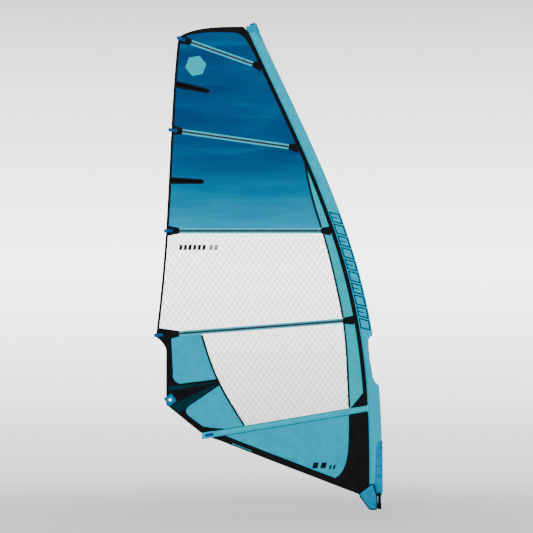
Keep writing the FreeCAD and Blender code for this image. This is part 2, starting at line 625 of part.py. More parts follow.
def make_head():
    """Cap that takes the tip of the mast, and the webbing collar that holds it in the sleeve."""
    depth, length, socket, socket_depth = CAP
    axis = head_axis()
    top = HEAD_SLOPE[1][1]
    room = sleeve_loft(top - length - 20.0, HEIGHT + 60.0, -SLEEVE_WALL - CAP_PLAY, 3)
    slice_at = top - length
    body = room.cut(above_head(CAP_PROUD))
    keep = polygon((front(slice_at) - depth, slice_at), (front(slice_at) + 40, slice_at),
                   (front(top) + 80, top + 60), (front(top) - depth - 30, top + 60))
    keep.translate(Vector(0, -100, 0))
    body = body.common(keep.extrude(Vector(0, 200, 0)))
    middle = Vector(front(slice_at) - between(SLEEVE_NOSE, slice_at), 0, slice_at)
    mouth = middle - axis * 30.0
    body = body.cut(rod(mouth, axis, socket, socket_depth + 30.0))
    save("head_cap", solids_of(body))
    print("head socket %.2f %.2f %.2f  axis %.4f %.4f %.4f" % (*middle, *axis))
    collar = sleeve_loft(SLEEVE_TOP, HEIGHT + 40.0, 1.7, 3).cut(sleeve_loft(SLEEVE_TOP - 5, HEIGHT + 45.0, 0.2, 3))
    tab = polygon((back(SLEEVE_TOP) - 0.5, SLEEVE_TOP + 1), HEAD_SLOPE[0], (-1120, 4166), (-1090, SLEEVE_TOP + 1))
    tab.translate(Vector(0, -1.5, 0))
    tab = tab.extrude(Vector(0, 3, 0)).cut(sleeve_loft(SLEEVE_TOP - 5, HEIGHT + 45.0, 0.2, 3))
    save("head_collar", solids_of(collar.fuse(tab).cut(above_head(0.0))))


# ---------------------------------------------------------------- build
make_cloth()
make_battens()
for number in range(5):
    pivot, direction = make_tensioner(number)
    print("screw %d at %.2f %.2f %.2f  axis %.4f %.4f %.4f" % (number + 1, *pivot, *direction))
make_clew()
make_sleeve()
make_protector()
make_fairing()
make_tack_block()
make_head()
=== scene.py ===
"""Windsurf sail: cloth, film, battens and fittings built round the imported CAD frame.

Metres, in the frame's axes: +Z up the mast, +X towards the luff, Y across the cloth.
"""
import math

import bpy
import bmesh
import numpy as np
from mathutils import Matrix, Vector
from mathutils.geometry import delaunay_2d_cdt


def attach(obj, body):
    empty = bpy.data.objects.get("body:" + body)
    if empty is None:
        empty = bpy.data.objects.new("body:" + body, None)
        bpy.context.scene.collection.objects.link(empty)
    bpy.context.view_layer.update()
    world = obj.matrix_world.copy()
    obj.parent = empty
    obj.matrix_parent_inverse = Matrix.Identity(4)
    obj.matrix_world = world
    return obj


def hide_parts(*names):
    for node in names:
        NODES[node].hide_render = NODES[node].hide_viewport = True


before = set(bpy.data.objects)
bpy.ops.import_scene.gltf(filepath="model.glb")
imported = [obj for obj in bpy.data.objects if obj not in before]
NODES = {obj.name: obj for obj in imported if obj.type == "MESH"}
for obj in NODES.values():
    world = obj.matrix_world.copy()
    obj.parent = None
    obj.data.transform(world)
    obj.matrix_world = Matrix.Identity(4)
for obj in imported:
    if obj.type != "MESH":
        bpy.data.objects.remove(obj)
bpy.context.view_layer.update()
SCENE = bpy.context.scene

# ---------------------------------------------------------------- the sail's lines
HEIGHT = 4.180
LUFF_FRONT = 0.028
LUFF_SWEEP = 1.088
LUFF_BEND = (-0.215, 2.756, -1.541)
SLEEVE_DEPTH = (0.114, 0.095)
SLEEVE_NOSE = (0.025, 0.018)
SLEEVE_FOOT = 0.122
CUTOUT_TOP = 1.505
CAMBER = 0.062
CAMBER_HEIGHT = 1.300
CAMBER_FADE = 1.500
PILLOW_DEPTH = 0.006
CREASE_DEPTH = 0.0011
LEECH_CHORD = (-2.026, 0.074)
LUFF_TAPE = 0.032
# each batten: X and Z of its aft end on the leech, its slope, and half the width of its pocket
BATTENS = ((-1.726, 4.058, -0.3535, 0.022), (-1.797, 3.267, -0.1433, 0.022),
           (-1.834, 2.398, 0.0, 0.023), (-1.919, 1.499, 0.0778, 0.022),
           (-1.484, 0.640, 0.1672, 0.029))
HOUSING_LENGTH = 0.060
CLEW = Vector((-1.795, 0.0, 0.945))


def front(z):
    """Front edge of the mast sleeve."""
    t = z / HEIGHT
    return LUFF_FRONT - LUFF_SWEEP * sum(share * t ** (n + 2) for n, share in enumerate(LUFF_BEND))


def evenly(pair, z):
    return pair[0] + (pair[1] - pair[0]) * z / HEIGHT


def back(z):
    """Seam behind the mast sleeve."""
    return front(z) - evenly(SLEEVE_DEPTH, z)


def batten_z(i, x):
    x0, z0, slope, _ = BATTENS[i]
    return z0 + slope * (x - x0)


def mouth(i):
    """X where the housing of batten i ends and its pocket begins."""
    return BATTENS[i][0] + HOUSING_LENGTH


def fore_end(i):
    """X where the pocket of batten i stops behind the sleeve."""
    x = -0.6
    for _ in range(30):
        x = back(batten_z(i, x)) - (LUFF_TAPE if i < 4 else 0.0)
    return x


def bump(t):
    """Smooth step down from 1 at t = 0 to 0 at t = 1 and beyond."""
    t = np.clip(np.abs(t), 0.0, 1.0)
    return (1.0 - t * t) ** 2


def belly(x, z):
    """How far aft a point lies, from 0 at the luff seam to 1 at the leech, and Y of the belly there.

    s (1 - s)^2 is deepest a third of the way aft, where it is 4 / 27; 6.75 brings that to 1.
    """
    chord = back(z) - (LEECH_CHORD[0] + LEECH_CHORD[1] * z)
    s = np.clip((back(z) - x) / chord, 0.0, 1.0)
    depth = CAMBER * np.exp(-((z - CAMBER_HEIGHT) / CAMBER_FADE) ** 2)
    return s, -depth * 6.75 * s * (1.0 - s) ** 2


def skin(x, z):
    """Y of the cloth: the sail's belly, with the shallow pillows between its battens."""
    x, z = np.asarray(x, float), np.asarray(z, float)
    s, y = belly(x, z)
    rows = [batten_z(i, x) for i in range(5)]
    pillow = np.zeros_like(y)
    for high, low in zip(rows, rows[1:]):
        t = np.clip((z - low) / np.maximum(high - low, 1e-6), 0.0, 1.0)
        inside = (z > low) & (z < high)
        pillow = np.where(inside, np.sin(math.pi * t) ** 2, pillow)
    y = y + PILLOW_DEPTH * pillow * np.sin(math.pi * np.clip(s * 1.15, 0, 1)) ** 2
    return y + creases(x, z)


def creases(x, z):
    """Fine tension creases that fan out of the clew and the tack."""
    total = np.zeros_like(np.asarray(x, float))
    for cx, cz, low, high, count, reach in ((CLEW.x, CLEW.z, -0.9, 1.2, 13, 0.75),
                                            (-0.06, 0.16, 1.75, 3.1, 9, 0.55)):
        dx, dz = x - cx, z - cz
        distance = np.sqrt(dx * dx + dz * dz)
        angle = np.arctan2(dz, dx)
        middle, half = (low + high) / 2, (high - low) / 2
        fan = bump((angle - middle) / half) * bump(distance / reach) * np.clip(distance / 0.09, 0, 1)
        total = total + CREASE_DEPTH * fan * np.sin(angle * count + 1.0)
    return total


# ---------------------------------------------------------------- mesh helpers
def ring_faces(rings, size, flip=False):
    """Faces of a closed rod made of rings of points, with an end cap at both ends."""
    faces = []
    for k in range(rings - 1):
        for j in range(size):
            a, b = k * size + j, k * size + (j + 1) % size
            faces.append((a, a + size, b + size, b) if flip else (a, b, b + size, a + size))
    first, last = tuple(range(size)), tuple((rings - 1) * size + j for j in range(size))
    return faces + ([first, last[::-1]] if flip else [first[::-1], last])


def ring_mesh(ring, flip=False):
    """Closed rod from columns of points that run along it, one column for each point of its ring."""
    return np.stack(ring, 1).reshape(-1, 3).tolist(), ring_faces(len(ring[0]), len(ring), flip)


def lengths_along(line):
    """Distance of each point from the start of a line, measured along it."""
    return np.concatenate([[0], np.cumsum(np.linalg.norm(np.diff(line, axis=0), axis=1))])


def new_object(name, verts, faces, material, smooth=True, sharp=math.radians(50)):
    mesh = bpy.data.meshes.new(name)
    mesh.from_pydata([tuple(v) for v in verts], [], [tuple(f) for f in faces])
    mesh.validate()
    mesh.update()
    if smooth:
        mesh.shade_smooth()
        mesh.set_sharp_from_angle(angle=sharp)
    obj = bpy.data.objects.new(name, mesh)
    SCENE.collection.objects.link(obj)
    if material is not None:
        mesh.materials.append(material)
    return obj


def thick_sheet(xz, tris, y, thickness, shift=0.0):
    """Two layers of triangles over the same plan, joined round their edge."""
    count = len(xz)
    half = np.broadcast_to(np.asarray(thickness, float) / 2, (count,))
    near = [(p[0], y[n] + shift - half[n], p[1]) for n, p in enumerate(xz)]
    far = [(p[0], y[n] + shift + half[n], p[1]) for n, p in enumerate(xz)]
    faces = []
    edges = {}
    for a, b, c in tris:
        faces.append((a, b, c))
        faces.append((c + count, b + count, a + count))
        for e in ((a, b), (b, c), (c, a)):
            edges[e] = edges.get(e, 0) + 1
    for a, b in edges:
        if (b, a) not in edges:
            faces.append((b, a, a + count, b + count))
    return near + far, faces


def plan_of(node):
    """Boundary of a CAD node's near side, seen along Y: points and edges in X and Z."""
    mesh = NODES[node].data
    index, points, uses = {}, [], {}
    for poly in mesh.polygons:
        if poly.normal.y > -0.3:
            continue
        loop = []
        for v in poly.vertices:
            co = mesh.vertices[v].co
            key = (round(co.x, 5), round(co.z, 5))
            if key not in index:
                index[key] = len(points)
                points.append(key)
            loop.append(index[key])
        for a, b in zip(loop, loop[1:] + loop[:1]):
            if a != b:
                key = (min(a, b), max(a, b))
                uses[key] = uses.get(key, 0) + 1
    edges = [e for e, n in uses.items() if n == 1]
    return np.array(points), edges


def inside_plan(points, a, b):
    """Which points lie inside the closed outline made of edges a to b."""
    inside = np.zeros(len(points), bool)
    x, z = points[:, 0], points[:, 1]
    for (ax, az), (bx, bz) in zip(a, b):
        crosses = (az > z) != (bz > z)
        if az == bz:
            continue
        at = ax + (z - az) * (bx - ax) / (bz - az)
        inside ^= crosses & (x < at)
    return inside


def near_edges(points, a, b, limit):
    """Which points lie within a limit of any edge."""
    close = np.zeros(len(points), bool)
    for p, q in zip(a, b):
        d = q - p
        length = max(float(d @ d), 1e-12)
        t = np.clip(((points - p) @ d) / length, 0, 1)
        gap = points - (p + t[:, None] * d)
        close |= (gap * gap).sum(1) < limit * limit
    return close


def fill_plan(points, edges, step):
    """Triangulates an outline with evenly spaced points inside it."""
    verts, cons = [tuple(p) for p in points], []
    for i, j in edges:
        p, q = np.array(verts[i]), np.array(verts[j])
        parts = max(1, int(math.ceil(np.linalg.norm(q - p) / step)))
        chain = [i]
        for n in range(1, parts):
            chain.append(len(verts))
            verts.append(tuple(p + (q - p) * n / parts))
        chain.append(j)
        cons += list(zip(chain, chain[1:]))
    rim = np.array(verts)
    a, b = rim[[e[0] for e in cons]], rim[[e[1] for e in cons]]
    low, high = rim.min(0), rim.max(0)
    rise = step * math.sqrt(3) / 2
    lattice = []
    for r in range(int((high[1] - low[1]) / rise) + 1):
        xs = np.arange(low[0] + (step / 2 if r % 2 else 0.0), high[0], step)
        lattice.append(np.column_stack([xs, np.full(len(xs), low[1] + (r + 0.5) * rise)]))
    lattice = np.concatenate(lattice)
    lattice = lattice[inside_plan(lattice, a, b)]
    if len(lattice):
        lattice = lattice[~near_edges(lattice, a, b, 0.45 * step)]
    everything = [Vector(p) for p in np.concatenate([rim, lattice])]
    out, _, tris, *_ = delaunay_2d_cdt(everything, cons, [], 0, 1e-7)
    xz = np.array([tuple(p) for p in out])
    tris = np.array([tuple(t) for t in tris])
    middle = xz[tris].mean(1)
    tris = tris[inside_plan(middle, a, b)]
    p, q, r = xz[tris[:, 0]], xz[tris[:, 1]], xz[tris[:, 2]]
    turn = (q[:, 0] - p[:, 0]) * (r[:, 1] - p[:, 1]) - (q[:, 1] - p[:, 1]) * (r[:, 0] - p[:, 0])
    tris = np.where((turn < 0)[:, None], tris[:, ::-1], tris)
    used = np.unique(tris)
    renumber = np.full(len(xz), -1)
    renumber[used] = np.arange(len(used))
    return xz[used], renumber[tris]


def panel(node, material, slot, thickness, rests_on, step, rise=None):
    """Replaces a flat cloth node by a finely meshed sheet that follows the sail's skin.

    rise(x, z) is how far both faces stand off the skin, where the piece isn't evenly thick.
    """
    return cloth_piece(node + "_cloth", *plan_of(node), material, slot, thickness, rests_on, step, rise, node)


def cloth_piece(name, points, edges, material, slot, thickness, rests_on, step, rise=None, *replaced):
    """Sheet over an outline, as panel makes it for a node."""
    xz, tris = fill_plan(np.asarray(points, float), edges, step)
    y = skin(xz[:, 0], xz[:, 1])
    if rise is not None:
        thickness = 2 * rise(xz[:, 0], xz[:, 1])
    verts, faces = thick_sheet(xz, tris, y, thickness)
    obj = sail_piece(new_object(name, verts, faces, material), slot, *replaced)
    return obj


def loop(points):
    """A closed outline's points and edges."""
    return list(points), [(k, (k + 1) % len(points)) for k in range(len(points))]


def two_loops(outer, inner):
    """An outline with one hole."""
    base = len(outer)
    edges = loop(outer)[1] + [(base + a, base + b) for a, b in loop(inner)[1]]
    return list(outer) + list(inner), edges


# ---------------------------------------------------------------- materials
def srgb(r, g, b):
    """Linear colour of an 8-bit one."""
    return tuple(((c / 255) / 12.92 if c <= 10 else ((c / 255 + 0.055) / 1.055) ** 2.4)
                 for c in (r, g, b)) + (1.0,)


class Shader:
    """Short way to build one material's nodes."""

    def __init__(self, name, roughness=0.5, **sockets):
        self.material = bpy.data.materials.new(name)
        self.material.use_nodes = True
        self.tree = self.material.node_tree
        self.main = next(n for n in self.tree.nodes if n.type == "BSDF_PRINCIPLED")
        self.main.inputs["Roughness"].default_value = roughness
        self.main.inputs["Specular IOR Level"].default_value = 0.0
        for key, value in sockets.items():
            self.main.inputs[key.replace("_", " ")].default_value = value
        self.place = self.node("ShaderNodeTexCoord").outputs["Object"]

    def node(self, kind, **settings):
        n = self.tree.nodes.new(kind)
        for key, value in settings.items():
            setattr(n, key, value)
        return n

    def link(self, out, target):
        self.tree.links.new(out, target)

    def mapped(self, scale=(1, 1, 1), turn=(0, 0, 0)):
        m = self.node("ShaderNodeMapping")
        m.inputs["Scale"].default_value = scale
        m.inputs["Rotation"].default_value = turn
        self.link(self.place, m.inputs["Vector"])
        return m.outputs["Vector"]

    def noise(self, scale, detail=4.0, vector=None, rough=0.55, distortion=0.0):
        n = self.node("ShaderNodeTexNoise")
        n.inputs["Scale"].default_value = scale
        n.inputs["Detail"].default_value = detail
        n.inputs["Roughness"].default_value = rough
        n.inputs["Distortion"].default_value = distortion
        self.link(vector or self.place, n.inputs["Vector"])
        return n.outputs["Fac"]

    def bands(self, scale, direction="X", vector=None, distortion=0.0):
        n = self.node("ShaderNodeTexWave", wave_type="BANDS", bands_direction=direction)
        n.inputs["Scale"].default_value = scale
        n.inputs["Distortion"].default_value = distortion
        self.link(vector or self.place, n.inputs["Vector"])
        return n.outputs["Fac"]

    def ramp(self, fac, stops):
        n = self.node("ShaderNodeValToRGB")
        ramp = n.color_ramp
        while len(ramp.elements) < len(stops):
            ramp.elements.new(0.5)
        for element, (at, colour) in zip(ramp.elements, stops):
            element.position = at
            element.color = colour
        self.link(fac, n.inputs["Fac"])
        return n.outputs["Color"]

    def math(self, operation, a, b=0.0):
        n = self.node("ShaderNodeMath", operation=operation)
        for socket, value in zip(n.inputs, (a, b)):
            if hasattr(value, "links"):
                self.link(value, socket)
            else:
                socket.default_value = value
        return n.outputs[0]

    def height(self):
        """World height of the shaded point, in metres."""
        split = self.node("ShaderNodeSeparateXYZ")
        self.link(self.place, split.inputs[0])
        return split.outputs["Z"]

    def mix(self, fac, a, b, blend="MIX"):
        n = self.node("ShaderNodeMix", data_type="RGBA", blend_type=blend)
        for key, value in (("Factor", fac), ("A", a), ("B", b)):
            socket = [s for s in n.inputs if s.name == key and s.enabled][0]
            if hasattr(value, "links"):
                self.link(value, socket)
            else:
                socket.default_value = value
        return [s for s in n.outputs if s.enabled][0]

    def colour(self, out):
        self.link(out, self.main.inputs["Base Color"])
        return self

    def rough(self, out, low, high):
        n = self.node("ShaderNodeMapRange")
        n.inputs["To Min"].default_value = low
        n.inputs["To Max"].default_value = high
        self.link(out, n.inputs["Value"])
        self.link(n.outputs[0], self.main.inputs["Roughness"])
        return self

    def bump(self, out, strength, distance=0.001):
        n = self.node("ShaderNodeBump")
        n.inputs["Strength"].default_value = strength
        n.inputs["Distance"].default_value = distance
        self.link(out, n.inputs["Height"])
        self.link(n.outputs["Normal"], self.main.inputs["Normal"])
        return self


def woven(name, dark, light, roughness=0.55, thread=0.0011, patch=14.0, contrast=0.5, **sockets):
    """Plain-woven cloth: crossed threads, slow colour drift and a little soiling."""
    s = Shader(name, roughness, **sockets)
    scale = 0.05 / thread * 2 * math.pi
    warp = s.bands(scale, "X")
    weft = s.bands(scale, "Z")
    weave = s.math("MAXIMUM", warp, weft)
    drift = s.noise(patch, 5.0)
    base = s.ramp(drift, ((0.3, dark), (0.7, light)))
    shaded = s.mix(contrast * 0.35, base, s.mix(weave, (0.35, 0.35, 0.35, 1), (1, 1, 1, 1)), "MULTIPLY")
    s.colour(shaded)
    s.rough(s.noise(60.0, 2.0), roughness - 0.06, roughness + 0.1)
    s.bump(weave, 0.25, 0.0004)
    return s.material


# ---------------------------------------------------------------- strips and stitching that follow the skin
def spline(points, step=0.02):
    """Evenly spaced points on a smooth curve through the given ones (natural cubic spline)."""
    p = np.array(points, float)
    if len(p) == 2:
        n = max(2, int(np.linalg.norm(p[1] - p[0]) / step) + 1)
        return p[0] + (p[1] - p[0]) * np.linspace(0, 1, n)[:, None]
    knots = lengths_along(p)
    h = np.diff(knots)
    size = len(p)
    system, right = np.eye(size), np.zeros((size, 2))
    for k in range(1, size - 1):
        system[k, k - 1:k + 2] = h[k - 1], 2 * (h[k - 1] + h[k]), h[k]
        right[k] = 6 * ((p[k + 1] - p[k]) / h[k] - (p[k] - p[k - 1]) / h[k - 1])
    second = np.linalg.solve(system, right)
    out = []
    for t in np.linspace(0, knots[-1], max(3, int(knots[-1] / step) + 1)):
        k = min(size - 2, max(0, int(np.searchsorted(knots, t) - 1)))
        a, b = (knots[k + 1] - t) / h[k], (t - knots[k]) / h[k]
        curve = ((a ** 3 - a) * second[k] + (b ** 3 - b) * second[k + 1]) * h[k] ** 2 / 6
        out.append(a * p[k] + b * p[k + 1] + curve)
    return np.array(out)


def sideways(line):
    """Unit vectors across a line in the XZ plane."""
    d = np.gradient(line, axis=0)
    d /= np.linalg.norm(d, axis=1)[:, None]
    return np.column_stack([-d[:, 1], d[:, 0]])


def on_skin(xz, offset):
    """Points at an offset from the skin: negative is the -Y side."""
    return np.column_stack([xz[:, 0], skin(xz[:, 0], xz[:, 1]) + offset, xz[:, 1]])


def ribbon_mesh(line, width, offset, thickness, crown=0.0, columns=3):
    """Closed strip centred on a line, lying at an offset from the skin."""
    across = sideways(line)
    fractions = np.linspace(-1, 1, columns)
    side = 1.0 if offset >= 0 else -1.0
    near, far = [], []
    for f in fractions:
        xz = line + across * (f * width / 2)
        rise = crown * (1 - f * f)
        near.append(on_skin(xz, offset + side * (thickness / 2 + rise)))
        far.append(on_skin(xz, offset - side * thickness / 2))
    return ring_mesh(near + far[::-1])


def joined(name, meshes, material):
    """One object made of several meshes."""
    verts, faces = [], []
    for v, f in meshes:
        base = len(verts)
        verts += v
        faces += [tuple(i + base for i in face) for face in f]
    obj = new_object(name, verts, faces, material)
    fix_normals(obj)
    return obj


def fix_normals(obj):
    bm = bmesh.new()
    bm.from_mesh(obj.data)
    bmesh.ops.recalc_face_normals(bm, faces=bm.faces)
    bm.to_mesh(obj.data)
    bm.free()


def both_sides(line, width, offset, thickness, **extra):
    return [ribbon_mesh(line, width, side * offset, thickness, **extra) for side in (-1, 1)]


def zigzag(line, swing, pitch):
    """Zigzag thread path that follows a line."""
    along = lengths_along(line)
    t = np.arange(0, along[-1], pitch / 2)
    x, z = np.interp(t, along, line[:, 0]), np.interp(t, along, line[:, 1])
    across = sideways(np.column_stack([x, z]))
    flip = np.where(np.arange(len(t)) % 2, 1.0, -1.0)[:, None]
    return np.column_stack([x, z]) + across * flip * swing / 2


def thread_mesh(path, radius, offset):
    """Three-sided thread that lies on the skin."""
    side = 1.0 if offset >= 0 else -1.0
    across = sideways(path)
    left = on_skin(path - across * radius, offset)
    right = on_skin(path + across * radius, offset)
    top = on_skin(path, offset + side * radius * 1.2)
    return ring_mesh([left, top, right])


STITCHES = {"white": [], "dark": []}


def finish_stitches(material_of):
    for colour, meshes in STITCHES.items():
        if meshes:
            sail_piece(joined("stitching_" + colour, meshes, material_of[colour]),
                       "black_cloth" if colour == "dark" else "pocket_cloth")


def sail_piece(obj, slot, *replaced, body="sail"):
    """Fixes a piece to the sail, or to another body, and hides the nodes it replaces; the slot is not used.
    """
    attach(obj, body)
    if replaced:
        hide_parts(*replaced)
    return obj


# ---------------------------------------------------------------- battens
def batten_line(i, x_aft, x_fore, side=0.0, step=0.02):
    """Points along a batten, or along a line to one side of it."""
    slope = BATTENS[i][2]
    lift = side * math.hypot(1.0, slope)
    n = max(2, int(abs(x_fore - x_aft) / step) + 1)
    x = np.linspace(x_aft, x_fore, n)
    return np.column_stack([x, batten_z(i, x) + lift])


POCKET_WALL = 0.0007
ROD_RISE = 0.0050
ROD_SPREAD = 0.0085      # how far the rod lifts the cloth to either side
STRIP_SINK = 0.0004


def pocket_rise(v, half):
    """How far a pocket's cloth stands off the skin, from its edges to the rod in the middle."""
    return POCKET_WALL + ROD_RISE * math.exp(-((v * half / ROD_SPREAD) ** 2))


def pocket_mesh(i, columns=17):
    half = BATTENS[i][3]
    into_sleeve = 0.010 if i == 4 else -0.0003
    line = batten_line(i, mouth(i) + 0.0004, fore_end(i) + into_sleeve)
    across = sideways(line)
    if across[0, 1] < 0:
        across = -across
    fractions = np.linspace(-1, 1, columns)
    near, far = [], []
    for v in fractions:
        xz = line + across * v * half
        taper = np.clip(np.minimum(np.arange(len(line)), np.arange(len(line))[::-1]) / 3.0, 0.35, 1.0)
        rise = POCKET_WALL + (pocket_rise(v, half) - POCKET_WALL) * np.maximum(taper, 0.97)
        near.append(on_skin(xz, -rise))
        far.append(on_skin(xz, rise))
    length = float(np.linalg.norm(line[-1] - line[0]))
    return *ring_mesh(near + far[::-1], flip=True), (length, 2 * half)


def crest_strip(i, width, lift, x_aft=None, x_fore=None):
    """Strip that lies over the rod, on both sides of a pocket."""
    half = BATTENS[i][3]
    line = batten_line(i, x_aft or mouth(i) + 0.012, x_fore or fore_end(i) - 0.012)
    across = sideways(line)
    fractions = np.linspace(-1, 1, 7 if width < 0.02 else 13)

    def column(side, f, rise):
        return on_skin(line + across * f * width / 2, side * (pocket_rise(f * width / 2 / half, half) + rise))

    return [ring_mesh([column(side, f, lift) for f in fractions]
                      + [column(side, f, -STRIP_SINK) for f in fractions[::-1]]) for side in (-1, 1)]


# ---------------------------------------------------------------- mast sleeve
CUT_EDGE = ((0.040, 1.062), (-0.002, 1.070), (-0.032, 1.094), (-0.054, 1.140), (-0.062, 1.200),
            (-0.078, 1.290), (-0.088, 1.380), (-0.091, 1.462), (-0.074, 1.490), (-0.048, 1.500),
            (0.040, 1.505))


def cut_edge(z):
    """X of the boom cut-out's edge at height z, or a large value outside it."""
    if not CUT_EDGE[0][1] < z < CUT_EDGE[-1][1]:
        return 1.0
    return float(np.interp(z, [p[1] for p in CUT_EDGE], [p[0] for p in CUT_EDGE]))


def section_shape(z, grow):
    """The sleeve's teardrop section: a round nose, and straight walls from it back to the seam.

    Gives the nose's centre and radius, the seam, the walls' lean, and where a wall meets the nose.
    """
    nose = evenly(SLEEVE_NOSE, z)
    centre, radius = front(z) - nose, nose + grow
    tail = centre - back(z) + grow * 1.5
    lean = math.acos(radius / tail)
    touch = (centre - radius * math.cos(lean), radius * math.sin(lean))
    return centre, radius, centre - tail, lean, touch


def half_section(z, columns, grow=0.0, limit=1.0):
    """Points from the back seam round to the nose (X and half thickness), cut off at a limit in X."""
    centre, radius, seam, lean, touch = section_shape(z, grow)
    wall = math.hypot(touch[0] - seam, touch[1])
    arc = radius * (math.pi - lean)
    total = wall + arc

    def at(length):
        if length <= wall:
            f = length / wall
            return seam + f * (touch[0] - seam), f * touch[1]
        angle = lean + (length - wall) / radius
        return centre - radius * math.cos(angle), radius * math.sin(angle)

    low, high = 0.0, total
    if at(total)[0] > limit:
        for _ in range(30):
            middle = (low + high) / 2
            low, high = (middle, high) if at(middle)[0] < limit else (low, middle)
        total = low
    return [at(total * n / (columns - 1)) for n in range(columns)]


def sleeve_folds(x, z, side):
    """Small tension folds in the sleeve, strongest beside the boom cut-out and at the foot."""
    near_cut = np.exp(-((z - 1.55) / 0.10) ** 2) + np.exp(-((z - 1.02) / 0.09) ** 2)
    near_foot = np.exp(-((z - 0.20) / 0.12) ** 2)
    wave = math.sin(z * 46.0 + x * 60.0 + side) + 0.6 * math.sin(z * 91.0 - x * 38.0 + 2.0 * side)
    return (0.0004 + 0.0009 * near_cut + 0.0007 * near_foot) * wave


TOP_SLOPE = 0.26
SLANT_START = 4.05      # height where the sleeve's rows begin to slant towards its top
SLANT_REACH = 0.10
SLANT_PIVOT = 0.048


def top_rise(x, z, slope=TOP_SLOPE):
    """How much higher a point lies than its row, because the sleeve's top slants."""
    return slope * max(0.0, z - SLANT_START) / SLANT_REACH * (x - (front(z) - SLANT_PIVOT))


def sleeve_grid(heights, columns, grow, top_slope):
    """Rows of points round the sleeve, port seam to starboard seam."""
    rows = []
    for z in heights:
        half = half_section(z, columns, grow, cut_edge(z))
        row = []
        for side in (-1, 1):
            points = []
            for x, y in half:
                fold = sleeve_folds(x, z, side) * min(1.0, y / 0.008)
                points.append((x, side * (y + fold * 0.6), z + top_rise(x, z, top_slope)))
            row.append(points)
        rows.append(row)
    return rows


def sleeve_mesh(heights, thickness=0.0011, columns=26, grow=0.0, top_slope=0.0):
    """Tube of cloth with an inner and an outer layer, open where the boom cut-out is."""
    layers = [sleeve_grid(heights, columns, grow, top_slope),
              sleeve_grid(heights, columns, grow - thickness, top_slope)]
    verts, faces, index = [], [], {}

    def vert(layer, k, s, n):
        key = (layer, k, s, n)
        if key not in index:
            x, y, z = layers[layer][k][s][n]
            if n == columns - 1 and cut_edge(heights[k]) >= 1.0:
                key_nose = (layer, k, "nose")
                if key_nose not in index:
                    index[key_nose] = len(verts)
                    verts.append((x, 0.0, z))
                index[key] = index[key_nose]
            else:
                index[key] = len(verts)
                verts.append((x, y, z))
        return index[key]

    rows = len(heights)
    for s in (0, 1):
        for k in range(rows - 1):
            for n in range(columns - 1):
                for layer in (0, 1):
                    quad = [vert(layer, k, s, n), vert(layer, k, s, n + 1),
                            vert(layer, k + 1, s, n + 1), vert(layer, k + 1, s, n)]
                    faces.append(quad)
            if cut_edge(heights[k]) < 1.0 or cut_edge(heights[k + 1]) < 1.0:
                faces.append([vert(0, k, s, columns - 1), vert(0, k + 1, s, columns - 1),
                              vert(1, k + 1, s, columns - 1), vert(1, k, s, columns - 1)])
        for k in (0, rows - 1):
            for n in range(columns - 1):
                faces.append([vert(0, k, s, n), vert(0, k, s, n + 1), vert(1, k, s, n + 1), vert(1, k, s, n)])
    for k in range(rows - 1):
        for layer in (0, 1):
            faces.append([vert(layer, k, 0, 0), vert(layer, k + 1, 0, 0), vert(layer, k + 1, 1, 0),
                          vert(layer, k, 1, 0)])
    cleaned = []
    for face in faces:
        unique = list(dict.fromkeys(face))
        if len(unique) > 2:
            cleaned.append(unique)
    return verts, cleaned


def sleeve_heights(z0, z1, step, extra=()):
    count = max(2, int(round((z1 - z0) / step)) + 1)
    heights = set(np.round(np.linspace(z0, z1, count), 5)) | {round(e, 5) for e in extra if z0 < e < z1}
    return sorted(float(h) for h in heights)


def weld(obj, distance=0.0002):
    bm = bmesh.new()
    bm.from_mesh(obj.data)
    bmesh.ops.remove_doubles(bm, verts=bm.verts, dist=distance)
    bmesh.ops.dissolve_degenerate(bm, edges=bm.edges, dist=0.00001)
    bmesh.ops.recalc_face_normals(bm, faces=bm.faces)
    bm.to_mesh(obj.data)
    bm.free()


def girth(z, grow=0.0):
    """Length of sleeve cloth from the back seam round the mast to the seam again, less the boom cut-out."""
    return 2 * float(lengths_along(np.array(half_section(z, 80, grow, cut_edge(z))))[-1])


def sleeve_cut(heights, grow=0.0):
    """Flat size and area of a length of sleeve, from its girth all the way up."""
    girths = np.array([girth(z, grow) for z in heights])
    steps = np.array([math.hypot(b - a, front(b) - front(a)) for a, b in zip(heights[:-1], heights[1:])])
    return (float(girths.max()), float(steps.sum())), float(np.sum(steps * (girths[1:] + girths[:-1]) / 2))


def sleeve_cloth(node, heights, finish, sharp, **shape):
    """Layered sleeve cloth that replaces a node."""
    obj = new_object(node + "_cloth", *sleeve_mesh(heights, **shape), finish)
    weld(obj)
    obj.data.shade_smooth()
    obj.data.set_sharp_from_angle(angle=math.radians(sharp))
    return sail_piece(obj, "sleeve_cloth", node)


def make_sleeve(material):
    around_cut = [1.0625, 1.064, 1.066, 1.068, 1.071, 1.075, 1.080, 1.086, 1.093, 1.100, 1.110, 1.120,
                  1.455, 1.465, 1.473, 1.480, 1.486, 1.491, 1.495, 1.498, 1.500, 1.5015, 1.503, 1.5045]
    lower = sleeve_heights(SLEEVE_FOOT, CUTOUT_TOP, 0.014, around_cut)
    upper = sleeve_heights(CUTOUT_TOP, 4.166, 0.016)
    for name, heights, slope in (("luff_sleeve_lower", lower, 0.0), ("luff_sleeve_upper", upper, TOP_SLOPE)):
        obj = sleeve_cloth(name, heights, material, 60, top_slope=slope)
        flat, area = sleeve_cut(heights)


def wall_y(x, z, grow=0.0):
    """Half thickness of the sleeve at x."""
    centre, radius, seam, _, touch = section_shape(z, grow)
    if x <= touch[0]:
        return max(0.0, touch[1] * (x - seam) / (touch[0] - seam))
    return math.sqrt(max(0.0, radius ** 2 - (x - centre) ** 2))


